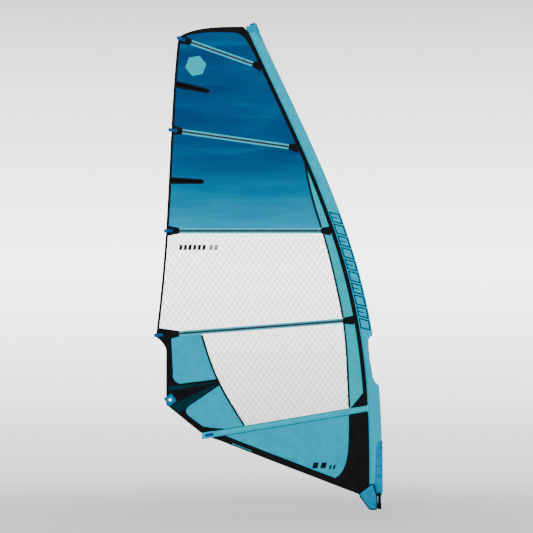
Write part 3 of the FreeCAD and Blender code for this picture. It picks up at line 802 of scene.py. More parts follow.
# ---------------------------------------------------------------- finishes
def body_print():
    """Deep blue laminate with pale cloudy streaks, turning to cyan towards the third batten."""
    s = Shader("body_laminate", 0.42)
    cloud = s.noise(2.2, 5.0, s.mapped((0.45, 1.0, 2.6), (0, math.radians(-5), 0)), 0.55, 0.35)
    deep = s.ramp(cloud, ((0.36, srgb(0, 66, 116)), (0.55, srgb(0, 80, 130)), (0.74, srgb(4, 112, 156))))
    fade = s.ramp(s.math("MULTIPLY", s.math("SUBTRACT", 3.02, s.height()), 1.6),
                  ((0.0, (0, 0, 0, 1)), (1.0, (1, 1, 1, 1))))
    wisps = s.noise(2.4, 5.0, s.mapped((0.5, 1.0, 3.4), (0, math.radians(-6), 0)), 0.55, 0.5)
    pale = s.ramp(wisps, ((0.3, srgb(2, 138, 184)), (0.7, srgb(26, 172, 206))))
    dark = s.ramp(wisps, ((0.35, srgb(0, 62, 96)), (0.75, srgb(0, 112, 150))))
    low = s.ramp(s.math("MULTIPLY", s.math("SUBTRACT", 2.42, s.height()), 3.2),
                 ((0.0, (0, 0, 0, 1)), (1.0, (0.4, 0.4, 0.4, 1))))
    s.colour(s.mix(low, s.mix(fade, deep, pale), dark))
    fine = s.bands(0.314 / 0.0016, "X", s.mapped((1, 1, 1), (0, math.radians(45), 0)))
    s.rough(s.noise(35.0, 3.0), 0.36, 0.5)
    s.bump(fine, 0.10, 0.0003)
    return s.material


def radial():
    """Black cloth whose panels run out from one point; a few of them are dark teal."""
    s = Shader("radial_polyester", 0.5)
    split = s.node("ShaderNodeSeparateXYZ")
    s.link(s.place, split.inputs[0])
    rise = s.math("SUBTRACT", split.outputs["Z"], 1.10)
    run = s.math("MAXIMUM", s.math("SUBTRACT", -1.36, split.outputs["X"]), 0.01)
    lean = s.math("DIVIDE", rise, run)
    thin = s.math("LESS_THAN", s.math("ABSOLUTE", s.math("ADD", lean, 0.135)), 0.045)
    broad = s.math("LESS_THAN", s.math("ABSOLUTE", s.math("ADD", lean, 0.615)), 0.135)
    patchy = s.noise(30.0, 4.0)
    black = s.ramp(patchy, ((0.3, srgb(20, 20, 22)), (0.7, srgb(28, 28, 31))))
    teal = s.ramp(patchy, ((0.3, srgb(0, 44, 54)), (0.7, srgb(6, 56, 66))))
    s.colour(s.mix(s.math("MAXIMUM", thin, broad), black, teal))
    s.rough(s.noise(60.0, 2.0), 0.44, 0.6)
    s.bump(s.bands(0.314 / 0.0016, "Z"), 0.15, 0.0003)
    return s.material


def film(name, strength, tint):
    """Clear film that is a little milky."""
    s = Shader(name, 0.25, Base_Color=tint, Alpha=strength, IOR=1.45)
    s.rough(s.noise(9.0, 3.0), 0.2, 0.34)
    s.bump(s.noise(4.0, 2.0), 0.05, 0.001)
    return s.material


def plain_plastic(name, low, high, roughness=0.4, grain=900.0):
    s = Shader(name, roughness)
    s.colour(s.ramp(s.noise(30.0, 4.0), ((0.35, low), (0.65, high))))
    s.rough(s.noise(90.0, 2.0), roughness - 0.06, roughness + 0.08)
    s.bump(s.noise(grain, 2.0), 0.12, 0.0002)
    return s.material


def steel(name, roughness=0.28):
    s = Shader(name, roughness, Metallic=1.0)
    s.colour(s.ramp(s.noise(45.0, 4.0), ((0.3, srgb(168, 170, 174)), (0.7, srgb(208, 210, 214)))))
    s.rough(s.noise(160.0, 2.0, s.mapped((1, 1, 14))), roughness - 0.08, roughness + 0.12)
    return s.material


FINISH = {
    "sleeve": woven("sleeve_polyester", srgb(0, 176, 208), srgb(0, 191, 222), 0.5),
    "luff": woven("luff_laminate", srgb(0, 181, 202), srgb(0, 195, 215), 0.45),
    "clew": woven("clew_laminate", srgb(0, 166, 200), srgb(0, 181, 214), 0.45),
    "pocket": woven("pocket_polyester", srgb(0, 182, 212), srgb(0, 198, 226), 0.5),
    "black": woven("black_polyester", srgb(22, 22, 24), srgb(30, 30, 32), 0.6),
    "radial": radial(),
    "pad": woven("padded_polyester", srgb(0, 136, 186), srgb(0, 152, 202), 0.65),
    "tab": woven("tab_webbing", srgb(0, 122, 178), srgb(0, 138, 194), 0.6, 0.0018),
    "webbing": woven("black_webbing", srgb(6, 6, 7), srgb(14, 14, 16), 0.65, 0.0022),
    "body": body_print(),
    "film": film("clear_film", 0.15, srgb(240, 243, 244)),
    "strip": plain_plastic("batten_strip_film", srgb(50, 44, 42), srgb(72, 64, 60), 0.4),
    "rod": plain_plastic("glass_fibre_rod", srgb(42, 38, 34), srgb(58, 52, 48), 0.4),
    "blue": plain_plastic("blue_nylon", srgb(0, 78, 150), srgb(0, 100, 176), 0.45),
    "dark": plain_plastic("black_nylon", srgb(12, 12, 14), srgb(22, 22, 24), 0.5),
    "navy": plain_plastic("navy_print", srgb(0, 34, 84), srgb(0, 48, 104), 0.55),
    "white": plain_plastic("white_thread", srgb(120, 206, 224), srgb(160, 222, 234), 0.6),
    "thread": plain_plastic("dark_thread", srgb(10, 22, 30), srgb(22, 36, 46), 0.6),
    "scrim": plain_plastic("scrim_yarn", srgb(132, 138, 140), srgb(160, 166, 168), 0.6),
    "seam": plain_plastic("sleeve_thread", srgb(0, 118, 158), srgb(0, 136, 176), 0.6),
    "collar": woven("collar_webbing", srgb(0, 148, 184), srgb(0, 166, 202), 0.55, 0.0018),
    "grey": plain_plastic("grey_print", srgb(140, 148, 152), srgb(160, 166, 170), 0.5),
    "steel": steel("stainless_steel"),
    "screw": steel("screw_steel", 0.36),
}


def paint_cad(finish, *nodes):
    for name in nodes:
        mesh = NODES[name].data
        mesh.materials.clear()
        mesh.materials.append(FINISH[finish])


# ---------------------------------------------------------------- the cloth
BODY_RESTS = ["batten_pocket_2", "batten_pocket_3"]
LOW_RESTS = ["luff_sleeve_lower", "batten_pocket_4", "batten_pocket_5"]
TAPE_RESTS = ["upper_body_panel", "foot_panel"]
# nodes, finish, slot, thickness, what they rest on, and mesh step
PANELS = (
    (("head_panel", "upper_body_panel", "mid_body_panel"), "body", "body_cloth", 0.0008, BODY_RESTS, 0.018),
    (("luff_panel_1", "luff_panel_2", "luff_panel_3"), "luff", "cyan_cloth", 0.0009, LOW_RESTS, 0.018),
    (("clew_panel_upper", "clew_panel_lower", "foot_panel"), "clew", "cyan_cloth", 0.0009, LOW_RESTS, 0.018),
    (("upper_window", "lower_window"), "film", "film", 0.0005, LOW_RESTS, 0.018),
    (("luff_tape", "leech_tape", "foot_tape", "head_band", "tack_panel"), "black", "black_cloth", 0.0022,
     TAPE_RESTS, 0.014),
    (("clew_patch",), "radial", "black_cloth", 0.0024, ["clew_panel_upper"], 0.014),
)


def make_panels():
    for nodes, finish, slot, thickness, rests_on, step in PANELS:
        for node in nodes:
            panel(node, FINISH[finish], slot, thickness, rests_on, step)


def make_battens():
    for i in range(5):
        verts, faces, flat = pocket_mesh(i)
        obj = new_object("batten_pocket_%d_cloth" % (i + 1), verts, faces, FINISH["pocket"])
        fix_normals(obj)
        sail_piece(obj, "pocket_cloth", "batten_pocket_%d" % (i + 1))
        if i < 4:
            strip = joined("batten_strip_%d" % (i + 1), crest_strip(i, 0.0150, 0.0006), FINISH["strip"])
            sail_piece(strip, "batten_rod")
        half = BATTENS[i][3]
        start, end = mouth(i) + 0.004, fore_end(i) - 0.004
        for side in (-1, 1):
            for inset in (0.003, 0.011):
                edge = batten_line(i, start, end, side * (half - inset))
                for face in (-1, 1):
                    rise = face * pocket_rise(1 - inset / half, half)
                    STITCHES["white" if i < 4 else "dark"].append(thread_mesh(edge, 0.0005, rise))


def make_pocket_end():
    """Cloth of the foot batten's pocket that wraps round its tensioner."""
    x0, _, slope, half = BATTENS[4]
    size = math.hypot(1.0, slope)

    def at(x, side):
        return (x, batten_z(4, x) + side * size)

    fore, aft, slot_aft, slot_half = mouth(4) + 0.0005, x0 - 0.040, x0 - 0.012, 0.0134
    points = [at(fore, -half), at(aft, -half), at(aft, half), at(fore, half), at(fore, slot_half),
              at(slot_aft, slot_half), at(slot_aft, -slot_half), at(fore, -slot_half)]
    cloth_piece("batten_pocket_5_end", points, loop(points)[1], FINISH["pocket"], "pocket_cloth", 0.0014,
                ["batten_pocket_5_cloth"], 0.006, None, "batten_pocket_5")


# ---------------------------------------------------------------- stage, light and camera
VIEW_MIDDLE = Vector((-0.967, 0.0, 2.091))
VIEW_DISTANCE = 27.0
VIEW_WIDTH = 4.584
SENSOR = 36.0


def make_camera():
    camera = bpy.data.objects.new("camera", bpy.data.cameras.new("camera"))
    SCENE.collection.objects.link(camera)
    camera.location = VIEW_MIDDLE + Vector((0, -VIEW_DISTANCE, 0))
    camera.rotation_euler = (math.radians(90), 0, 0)
    camera.data.sensor_width = SENSOR
    camera.data.lens = SENSOR * VIEW_DISTANCE / VIEW_WIDTH
    camera.data.clip_end = 200.0
    SCENE.camera = camera


FLOOR_FADE = 4.5        # distance over which the floor fades into the background


def make_stage():
    floor = new_object("floor", [(-6, -5, 0), (4, -5, 0), (4, 5, 0), (-6, 5, 0)], [(0, 1, 2, 3)], None, False)
    floor.location.z = -0.002
    s = Shader("pale_floor", 0.7)
    s.main.inputs["Base Color"].default_value = srgb(238, 238, 238)
    length = s.node("ShaderNodeVectorMath", operation="LENGTH")
    shifted = s.node("ShaderNodeVectorMath", operation="ADD")
    shifted.inputs[1].default_value = (0.9, 0, 0)
    s.link(s.place, shifted.inputs[0])
    s.link(shifted.outputs[0], length.inputs[0])
    fade = s.ramp(s.math("DIVIDE", length.outputs["Value"], FLOOR_FADE),
                  ((0.2, (0.6, 0.6, 0.6, 1)), (1.0, (0, 0, 0, 1))))
    s.link(fade, s.main.inputs["Alpha"])
    floor.data.materials.append(s.material)


def make_world():
    """Even pale studio light, brightest at the horizon."""
    world = bpy.data.worlds.new("studio")
    SCENE.world = world
    world.use_nodes = True
    tree = world.node_tree
    sky = tree.nodes["Background"]
    place = tree.nodes.new("ShaderNodeTexCoord")
    split = tree.nodes.new("ShaderNodeSeparateXYZ")
    tree.links.new(place.outputs["Generated"], split.inputs[0])
    scale = tree.nodes.new("ShaderNodeMapRange")
    scale.inputs["From Min"].default_value = -0.12
    scale.inputs["From Max"].default_value = 0.12
    tree.links.new(split.outputs["Z"], scale.inputs["Value"])
    ramp = tree.nodes.new("ShaderNodeValToRGB")
    stops = ((0.0, 0.45), (0.14, 1.1), (0.28, 2.0), (0.5, 4.9), (0.68, 3.1), (0.86, 1.5), (1.0, 0.45))
    while len(ramp.color_ramp.elements) < len(stops):
        ramp.color_ramp.elements.new(0.5)
    for element, (at, level) in zip(ramp.color_ramp.elements, stops):
        element.position = at
        element.color = (level / 5, level / 5, level / 5, 1)
    tree.links.new(scale.outputs[0], ramp.inputs["Fac"])
    tree.links.new(ramp.outputs["Color"], sky.inputs["Color"])
    sky.inputs["Strength"].default_value = 5.0


LIT_POINT = (-0.9, 0, 2.1)


def area_light(name, place, target, size, power):
    light = bpy.data.objects.new(name, bpy.data.lights.new(name, "AREA"))
    SCENE.collection.objects.link(light)
    light.data.shape = "RECTANGLE"
    light.data.size, light.data.size_y = size
    light.data.energy = power
    light.location = place
    light.rotation_euler = (Vector(target) - Vector(place)).to_track_quat("-Z", "Y").to_euler()


def make_lights():
    for name, place, size, power in (("key", (-3.5, -6.0, 4.6), (3.5, 4.0), 190),
                                     ("fill", (4.0, -5.0, 2.5), (3.0, 4.0), 70),
                                     ("rear", (-1.0, 6.0, 4.5), (4.0, 4.0), 120)):
        area_light(name, place, LIT_POINT, size, power)


# ---------------------------------------------------------------- patches, seams and scrim
LEECH_PATCH_REACH = (0.118, 0.112, 0.125, 0.206)
LUFF_PATCH_REACH = (0.066, 0.080, 0.084, 0.098)
# short leech battens: X and Z at the leech, and how far the inner end lies below it
LEECH_BATTENS = ((-1.7594, 3.661, 0.060), (-1.8067, 2.831, 0.010))
SEAM = ((-0.671, 3.200), (-0.568, 2.662), (-0.464, 2.319), (-0.378, 1.975), (-0.301, 1.579),
        (-0.267, 1.115), (-0.252, 0.780))
CLEW_SEAM = ((-1.531, 1.530), (-1.385, 1.115), (-1.293, 0.943), (-1.140, 0.700))
SCRIM_SPACING = 0.041
SCRIM_DIRECTIONS = (-52.0, 57.0)


def make_patches():
    """Black reinforcement round the batten ends, and where it crosses over their pockets."""
    panel("batten_end_patches", FINISH["black"], "black_cloth", 0.0026, ["luff_tape", "leech_tape"], 0.012)
    meshes, length = [], 0.0
    for i in range(4):
        width = 2 * BATTENS[i][3]
        start, end = mouth(i) + 0.0002, fore_end(i)
        for x0, x1 in ((start, BATTENS[i][0] + LEECH_PATCH_REACH[i] - 0.006),
                       (end - LUFF_PATCH_REACH[i], end + 0.017)):
            meshes += crest_strip(i, width, 0.0011, x0, x1)
            length += 2 * math.hypot(1.0, BATTENS[i][2]) * (x1 - x0)
    crossings = joined("patch_crossings", meshes, FINISH["black"])
    sail_piece(crossings, "black_cloth")


def make_leech_pockets():
    def rise(x, z):
        near = np.full_like(x, 1.0)
        for lx, lz, drop in LEECH_BATTENS:
            middle = lz - drop * np.clip((x - lx - 0.022) / 0.254, 0, 1)
            near = np.minimum(near, np.abs(z - middle))
        return 0.0012 + 0.0022 * np.exp(-(near / 0.0055) ** 2)

    panel("leech_batten_pockets", FINISH["black"], "black_cloth", None, ["leech_battens"], 0.007, rise)
    # Dark ribbons along the middle of each short leech batten pocket, on both faces: painted shade of the
    # groove there
    meshes = []
    for lx, lz, drop in LEECH_BATTENS:
        line = np.array([(lx + 0.022 + 0.254 * t, lz - drop * t) for t in np.linspace(-0.03, 1.02, 14)])
        meshes += both_sides(line, 0.0115, 0.0034, 0.0012)
    sail_piece(joined("leech_pocket_groove_shade", meshes, FINISH["webbing"]), "black_webbing")


def between_battens(line, top, bottom, gap=0.0):
    """The part of a line that lies between the pockets of two battens."""
    x, z = line[:, 0], line[:, 1]
    high = batten_z(top, x) - BATTENS[top][3] * math.hypot(1, BATTENS[top][2]) - gap
    low = batten_z(bottom, x) + BATTENS[bottom][3] * math.hypot(1, BATTENS[bottom][2]) + gap
    return line[(z < high) & (z > low)]


def chained(edges):
    """Runs of point numbers that follow edges end to end."""
    follows = {}
    for a, b in edges:
        follows.setdefault(a, []).append(b)
        follows.setdefault(b, []).append(a)
    runs, left = [], {frozenset(e) for e in edges}
    while left:
        run = list(min(tuple(sorted(e)) for e in left))
        left.discard(frozenset(run))
        while True:
            step = [n for n in follows[run[-1]] if frozenset((run[-1], n)) in left]
            if not step:
                break
            left.discard(frozenset((run[-1], step[0])))
            run.append(step[0])
        runs.append(run)
    return runs


def bound_edges(node, width=0.0032):
    """Narrow binding along a piece's edges, broken where they turn sharply."""
    points, edges = plan_of(node)
    meshes = []
    for run in chained(edges):
        line = [points[run[0]]]
        for n in run[1:]:
            step = points[n] - line[-1]
            if np.linalg.norm(step) < 0.004 and n != run[-1]:
                continue
            if len(line) > 1:
                last = line[-1] - line[-2]
                turn = np.dot(step, last) / (np.linalg.norm(step) * np.linalg.norm(last) + 1e-12)
                if turn < 0.8:
                    meshes += both_sides(np.array(line), width, 0.0016, 0.0008)
                    line = [line[-1]]
            line.append(points[n])
        if len(line) > 1:
            meshes += both_sides(np.array(line), width, 0.0016, 0.0008)
    return meshes


def make_seams():
    """Black bound seams beside the windows and along the foot batten, with their stitching."""
    meshes = []
    luff = spline(SEAM, 0.01)
    lines = [between_battens(luff, top, top + 1) for top in (1, 2, 3)]
    lines.append(between_battens(spline(CLEW_SEAM, 0.01), 3, 4))
    for line in lines:
        meshes += both_sides(line[::2] if len(line) > 60 else line, 0.015, 0.0016, 0.0012)
        across = sideways(line) * 0.0095
        for sign in (-1, 1):
            path = zigzag(line + sign * across, 0.003, 0.005)
            for side in (-1, 1):
                STITCHES["dark"].append(thread_mesh(path, 0.00045, side * 0.0008))
    half = BATTENS[4][3]
    for sign in (-1, 1):
        edge = batten_line(4, mouth(4) + 0.004, fore_end(4) - 0.008, sign * (half - 0.0022), 0.03)
        meshes += both_sides(edge, 0.0042, 0.0013, 0.0009)
    for node in ("luff_tape", "leech_tape", "foot_tape", "head_band", "tack_panel", "clew_patch"):
        meshes += bound_edges(node)
    sail_piece(joined("bound_seams", meshes, FINISH["black"]), "black_cloth")


def clipped_runs(line, points, edges):
    """The stretches of a line that lie inside an outline."""
    a, b = points[[e[0] for e in edges]], points[[e[1] for e in edges]]
    inside = inside_plan(line, a, b)
    runs, current = [], []
    for point, kept in zip(line, inside):
        if kept:
            current.append(point)
        elif current:
            runs.append(current)
            current = []
    if current:
        runs.append(current)
    return [np.array(run) for run in runs if len(run) > 2]


def make_scrim():
    """Reinforcing yarns laid crosswise in the clear windows."""
    meshes = []
    for node in ("upper_window", "lower_window"):
        points, edges = plan_of(node)
        points = np.asarray(points, float)
        middle = (points.min(0) + points.max(0)) / 2
        reach = float(np.linalg.norm(points.max(0) - points.min(0))) / 2
        for number, degrees in enumerate(SCRIM_DIRECTIONS):
            along = np.array([math.cos(math.radians(degrees)), math.sin(math.radians(degrees))])
            across = np.array([-along[1], along[0]])
            count = int(reach / SCRIM_SPACING) + 1
            for k in range(-count, count + 1):
                wander = 0.0025 * math.sin(k * 2.3 + number)
                start = middle + across * (k * SCRIM_SPACING + wander)
                line = start + along * np.arange(-reach, reach, 0.012)[:, None]
                for run in clipped_runs(line, points, edges):
                    width = 0.0034 if k % 2 else 0.0024
                    run = np.concatenate([run[:-1:3], run[-1:]])
                    meshes.append(ribbon_mesh(run, width, 0.0, 0.0010))
    sail_piece(joined("window_scrim", meshes, FINISH["scrim"]), "film")


# ---------------------------------------------------------------- clew
def rounded_square(half, corner, turn, steps=6):
    """Outline of a square with round corners, turned about its middle."""
    points = []
    for quarter in range(4):
        for n in range(steps + 1):
            angle = math.radians(90 * quarter + 90 * n / steps)
            cx = (half - corner) * (1 if quarter in (0, 3) else -1)
            cz = (half - corner) * (1 if quarter in (0, 1) else -1)
            x, z = cx + corner * math.cos(angle), cz + corner * math.sin(angle)
            points.append((x * math.cos(turn) - z * math.sin(turn), x * math.sin(turn) + z * math.cos(turn)))
    return points


def circle(radius, steps=36):
    angles = [math.tau * n / steps for n in range(steps)]
    return [(radius * math.cos(a), radius * math.sin(a)) for a in angles]


def at_clew(points):
    return [(CLEW.x + x, CLEW.z + z) for x, z in points]


def make_clew():
    """Square webbing tab round the clew eyelet, with two rows of stitching."""
    half, corner, turn = 0.0415, 0.012, math.radians(35.0)

    def rise(x, z):
        dx, dz = x - CLEW.x, z - CLEW.z
        u = np.abs(dx * math.cos(turn) + dz * math.sin(turn))
        v = np.abs(-dx * math.sin(turn) + dz * math.cos(turn))
        edge = half - np.maximum(u, v)
        return 0.0009 + 0.0016 * np.clip(edge / 0.005, 0, 1) ** 0.5

    points, edges = two_loops(at_clew(rounded_square(half, corner, turn)), at_clew(circle(0.0135)))
    cloth_piece("clew_tab_cloth", points, edges, FINISH["tab"], "blue_webbing", None, ["clew_eyelet"],
                0.004, rise, "clew_tab")
    for inset in (0.006, 0.011):
        square = at_clew(rounded_square(half - inset, corner - 0.003, turn))
        path = np.array(square + square[:1])
        for side in (-1, 1):
            STITCHES["dark"].append(thread_mesh(path, 0.0005, side * 0.0026))


# ---------------------------------------------------------------- mast protector and tack fairing
PROTECTOR = (0.117, 0.597)
PROTECTOR_ROWS = (0.284, 0.373, 0.462)
EYELET_Z = 0.552
ARCH = (0.011, 0.126, 0.0225)       # X, Z and radius of the arch over the tack block
# outline of the tack fairing, as X and Z, and Y of its inner face at its aft and front edges
FAIRING = ((-0.068, 0.219), (-0.165, 0.143), (-0.168, 0.122), (-0.088, 0.014), (-0.072, 0.004),
           (-0.024, 0.004), (-0.015, 0.030), (-0.018, 0.120), (-0.050, 0.219))
FAIRING_Y = ((-0.168, -0.022), (-0.015, -0.036))


def nose_band(z, x0, x1, columns, grow):
    """Points along one wall of the sleeve's section, from X = x0 forward to x1 or the nose."""
    section = np.array(half_section(z, 160, grow))
    along = lengths_along(section)
    start = np.interp(x0, section[:, 0], along)
    end = along[-1] if x1 > section[-1, 0] - 1e-5 else np.interp(x1, section[:, 0], along)
    t = np.linspace(start, end, columns)
    return np.column_stack([np.interp(t, along, section[:, 0]), np.interp(t, along, section[:, 1])])


def protector_aft(z):
    """Aft edge of the protector: wide at the foot, rounded off at the top."""
    side = np.interp(z, (0.117, 0.22, 0.50, 0.60), (-0.037, -0.036, -0.024, -0.021))
    top = PROTECTOR[1] - z
    if top < 0.045:
        side = side + 0.047 * (1 - math.sqrt(max(0.0, 1 - (1 - top / 0.045) ** 2)))
    return float(side)


def protector_front(z):
    """Front limit of the protector, where the arch is cut out of it."""
    x, middle, radius = ARCH
    if z < middle:
        return x - radius
    if z < middle + radius:
        return x - math.sqrt(radius ** 2 - (z - middle) ** 2)
    return 1.0


def quilted(z, rows, width=0.004):
    """1 on the pad, falling to 0 in the dips along its stitch rows."""
    return 1.0 - max(math.exp(-((z - row) / width) ** 2) for row in rows)


def make_protector(columns=15):
    fine = [row + d for row in PROTECTOR_ROWS for d in (-0.006, -0.003, -0.0015, 0, 0.0015, 0.003, 0.006)]
    arch = [ARCH[1] + ARCH[2] * f for f in (0.2, 0.4, 0.6, 0.75, 0.87, 0.95, 0.99, 0.9999)]
    top = [PROTECTOR[1] - 0.045 * f for f in (0.004, 0.02, 0.05, 0.1, 0.18, 0.3, 0.5, 0.75)]
    heights = sleeve_heights(*PROTECTOR, 0.012, fine + arch + top)[:-1]
    verts, faces = [], []
    count = len(heights)
    for side in (-1, 1):
        base = len(verts)
        for k, z in enumerate(heights):
            low, high = protector_aft(z), protector_front(z)
            inner = nose_band(z, low, high, columns, 0.0004)
            edge = min(1.0, (z - PROTECTOR[0]) / 0.008, (PROTECTOR[1] - z) / 0.010)
            puff = 0.0008 + 0.0032 * quilted(z, PROTECTOR_ROWS) * max(0.0, edge) ** 0.5
            for n, (x, y) in enumerate(inner):
                rim = min(n, (columns - 1 - n) if high < 1 else columns) / 2.0
                lift = 0.0006 + puff * min(1.0, rim) ** 0.6
                nose = evenly(SLEEVE_NOSE, z)
                cx = front(z) - nose
                nx, ny = (x - cx, y) if x > cx else (0.0, 1.0)
                size = math.hypot(nx, ny) or 1.0
                verts.append((x, side * y, z))
                verts.append((x + lift * nx / size, side * (y + lift * ny / size), z))
        for k in range(count - 1):
            for n in range(columns - 1):
                a = base + 2 * (k * columns + n)
                b = a + 2
                c, d = a + 2 * columns, b + 2 * columns
                faces.append((a, b, d, c))
                faces.append((a + 1, c + 1, d + 1, b + 1))
                if k == 0:
                    faces.append((a, a + 1, b + 1, b))
                if k == count - 2:
                    faces.append((c, d, d + 1, c + 1))
            a = base + 2 * k * columns
            faces.append((a, a + 2 * columns, a + 2 * columns + 1, a + 1))
            if protector_front(heights[k + 1]) < 1.0:
                a = base + 2 * (k * columns + columns - 1)
                faces.append((a, a + 1, a + 2 * columns + 1, a + 2 * columns))
    obj = new_object("mast_protector_pad", verts, faces, FINISH["pad"])
    weld(obj, 0.00005)
    obj.data.shade_smooth()
    sail_piece(obj, "padding", "mast_protector")
    rows, binding = [], []
    for z in PROTECTOR_ROWS:
        rows += wall_threads(z, 0.0022)
    sail_piece(joined("protector_rows", rows, FINISH["thread"]), "black_cloth")
    for side in (-1, 1):
        angles = np.radians(np.linspace(-4, 84, 16))
        line = [(ARCH[0] - ARCH[2] * math.cos(a), ARCH[1] + ARCH[2] * math.sin(a)) for a in angles]
        line = [(ARCH[0] - ARCH[2], 0.1175)] + [p for p in line if p[0] < 0.030]
        binding.append(tube([(x - 0.0012, side * (wall_y(x, z, 0.0) + 0.0030), z) for x, z in line], 0.0034))
    nose = evenly(SLEEVE_NOSE, EYELET_Z) + 0.0046
    middle = front(EYELET_Z) + 0.0046 - nose
    ring = []
    for a in np.linspace(0, 2 * math.pi, 33):
        turn = 0.027 * math.cos(a) / nose
        ring.append((middle + nose * math.cos(turn), -nose * math.sin(turn), EYELET_Z + 0.024 * math.sin(a)))
    binding.append(tube(ring, 0.0032))
    sail_piece(joined("arch_binding", binding, FINISH["black"]), "black_cloth")


def wall_threads(z, offset):
    """Stitched row round the front of the sleeve at one height."""
    meshes = []
    for side in (-1, 1):
        points = nose_band(z, protector_aft(z) + 0.002, 1.0, 22, offset)
        path = [(x, side * y, z + (0.0007 if n % 2 else -0.0007)) for n, (x, y) in enumerate(points)]
        meshes.append(tube(path, 0.0006, 5))
    return meshes


def tube(points, radius, sides=8):
    """Closed round tube along points."""
    p = np.array(points, float)
    d = np.gradient(p, axis=0)
    d /= np.linalg.norm(d, axis=1)[:, None]
    guide = np.array([0.0, 1.0, 0.0]) if abs(d[0][1]) < 0.8 else np.array([0.0, 0.0, 1.0])
    verts = []
    for point, along in zip(p, d):
        a = np.cross(along, guide)
        a /= max(np.linalg.norm(a), 1e-9)
        b = np.cross(along, a)
        for n in range(sides):
            angle = math.tau * n / sides
            verts.append(tuple(point + radius * (math.cos(angle) * a + math.sin(angle) * b)))
    return verts, ring_faces(len(p), sides)


def fairing_y(x):
    (xa, ya), (xf, yf) = FAIRING_Y
    return ya + (yf - ya) * (x - xa) / (xf - xa)


def segment_distance(x, z, a, b):
    px, pz = b[0] - a[0], b[1] - a[1]
    t = np.clip(((x - a[0]) * px + (z - a[1]) * pz) / (px * px + pz * pz), 0, 1)
    return np.hypot(x - a[0] - t * px, z - a[1] - t * pz)


FAIRING_ROWS = (((-0.140, 0.156), (-0.030, 0.098)), ((-0.120, 0.172), (-0.024, 0.150)),
                ((-0.155, 0.112), (-0.040, 0.040)))


def make_fairing():
    """Padded flap with bound edges and three rows of quilting."""
    points, edges = loop(FAIRING)
    xz, tris = fill_plan(np.array(points), edges, 0.0045)
    x, z = xz[:, 0], xz[:, 1]
    rim = np.min([segment_distance(x, z, points[a], points[b]) for a, b in edges], axis=0)
    dips = np.max([np.exp(-(segment_distance(x, z, a, b) / 0.0035) ** 2) for a, b in FAIRING_ROWS], axis=0)
    puff = 0.0008 + 0.0052 * np.clip(rim / 0.016, 0, 1) ** 0.55 * (1 - 0.6 * dips)
    back_y = fairing_y(x) - 0.0001
    verts = [(px, by - up, pz) for (px, pz), by, up in zip(xz, back_y, puff)]
    verts += [(px, by, pz) for (px, pz), by in zip(xz, back_y)]
    _, faces = thick_sheet(xz, tris, back_y, 0.001)
    pad = new_object("tack_fairing_pad", verts, faces, FINISH["pad"])
    fix_normals(pad)
    sail_piece(pad, "padding", "tack_fairing", body="fairing")
    line = rounded_path([FAIRING[-1], *FAIRING], 0.010)
    binding = [tube([(px, fairing_y(px) - 0.0032, pz) for px, pz in line], 0.0050)]
    rows = []
    for a, b in FAIRING_ROWS:
        steps = np.linspace(0.03, 0.97, 26)
        for k in range(0, 25, 2):
            dash = [(a[0] + (b[0] - a[0]) * t, a[1] + (b[1] - a[1]) * t)
                    for t in np.linspace(steps[k], steps[k + 1], 3)]
            rows.append(tube([(px, fairing_y(px) - 0.0039, pz) for px, pz in dash], 0.0006, 5))
    for name, meshes, finish in (("fairing_binding", binding, "black"), ("fairing_rows", rows, "thread")):
        sail_piece(joined(name, meshes, FINISH[finish]), "black_cloth", body="fairing")


def rounded_path(points, radius, steps=5):
    """Polyline with its corners rounded."""
    p = [np.array(q, float) for q in points]
    out = [p[0]]
    for a, b, c in zip(p, p[1:], p[2:]):
        before, after = a - b, c - b
        cut = min(radius, np.linalg.norm(before) / 2.1, np.linalg.norm(after) / 2.1)
        start = b + before / np.linalg.norm(before) * cut
        end = b + after / np.linalg.norm(after) * cut
        for t in np.linspace(0, 1, steps):
            out.append((1 - t) ** 2 * start + 2 * t * (1 - t) * b + t ** 2 * end)
    out.append(p[-1])
    return out


# ---------------------------------------------------------------- tack strap
STRAP_X = (-0.0094, 0.0160)
STRAP_LOOP = (-0.044, 0.051, 0.142, 0.0049)  # Y of the bar, its height, the top of the loop, mid radius


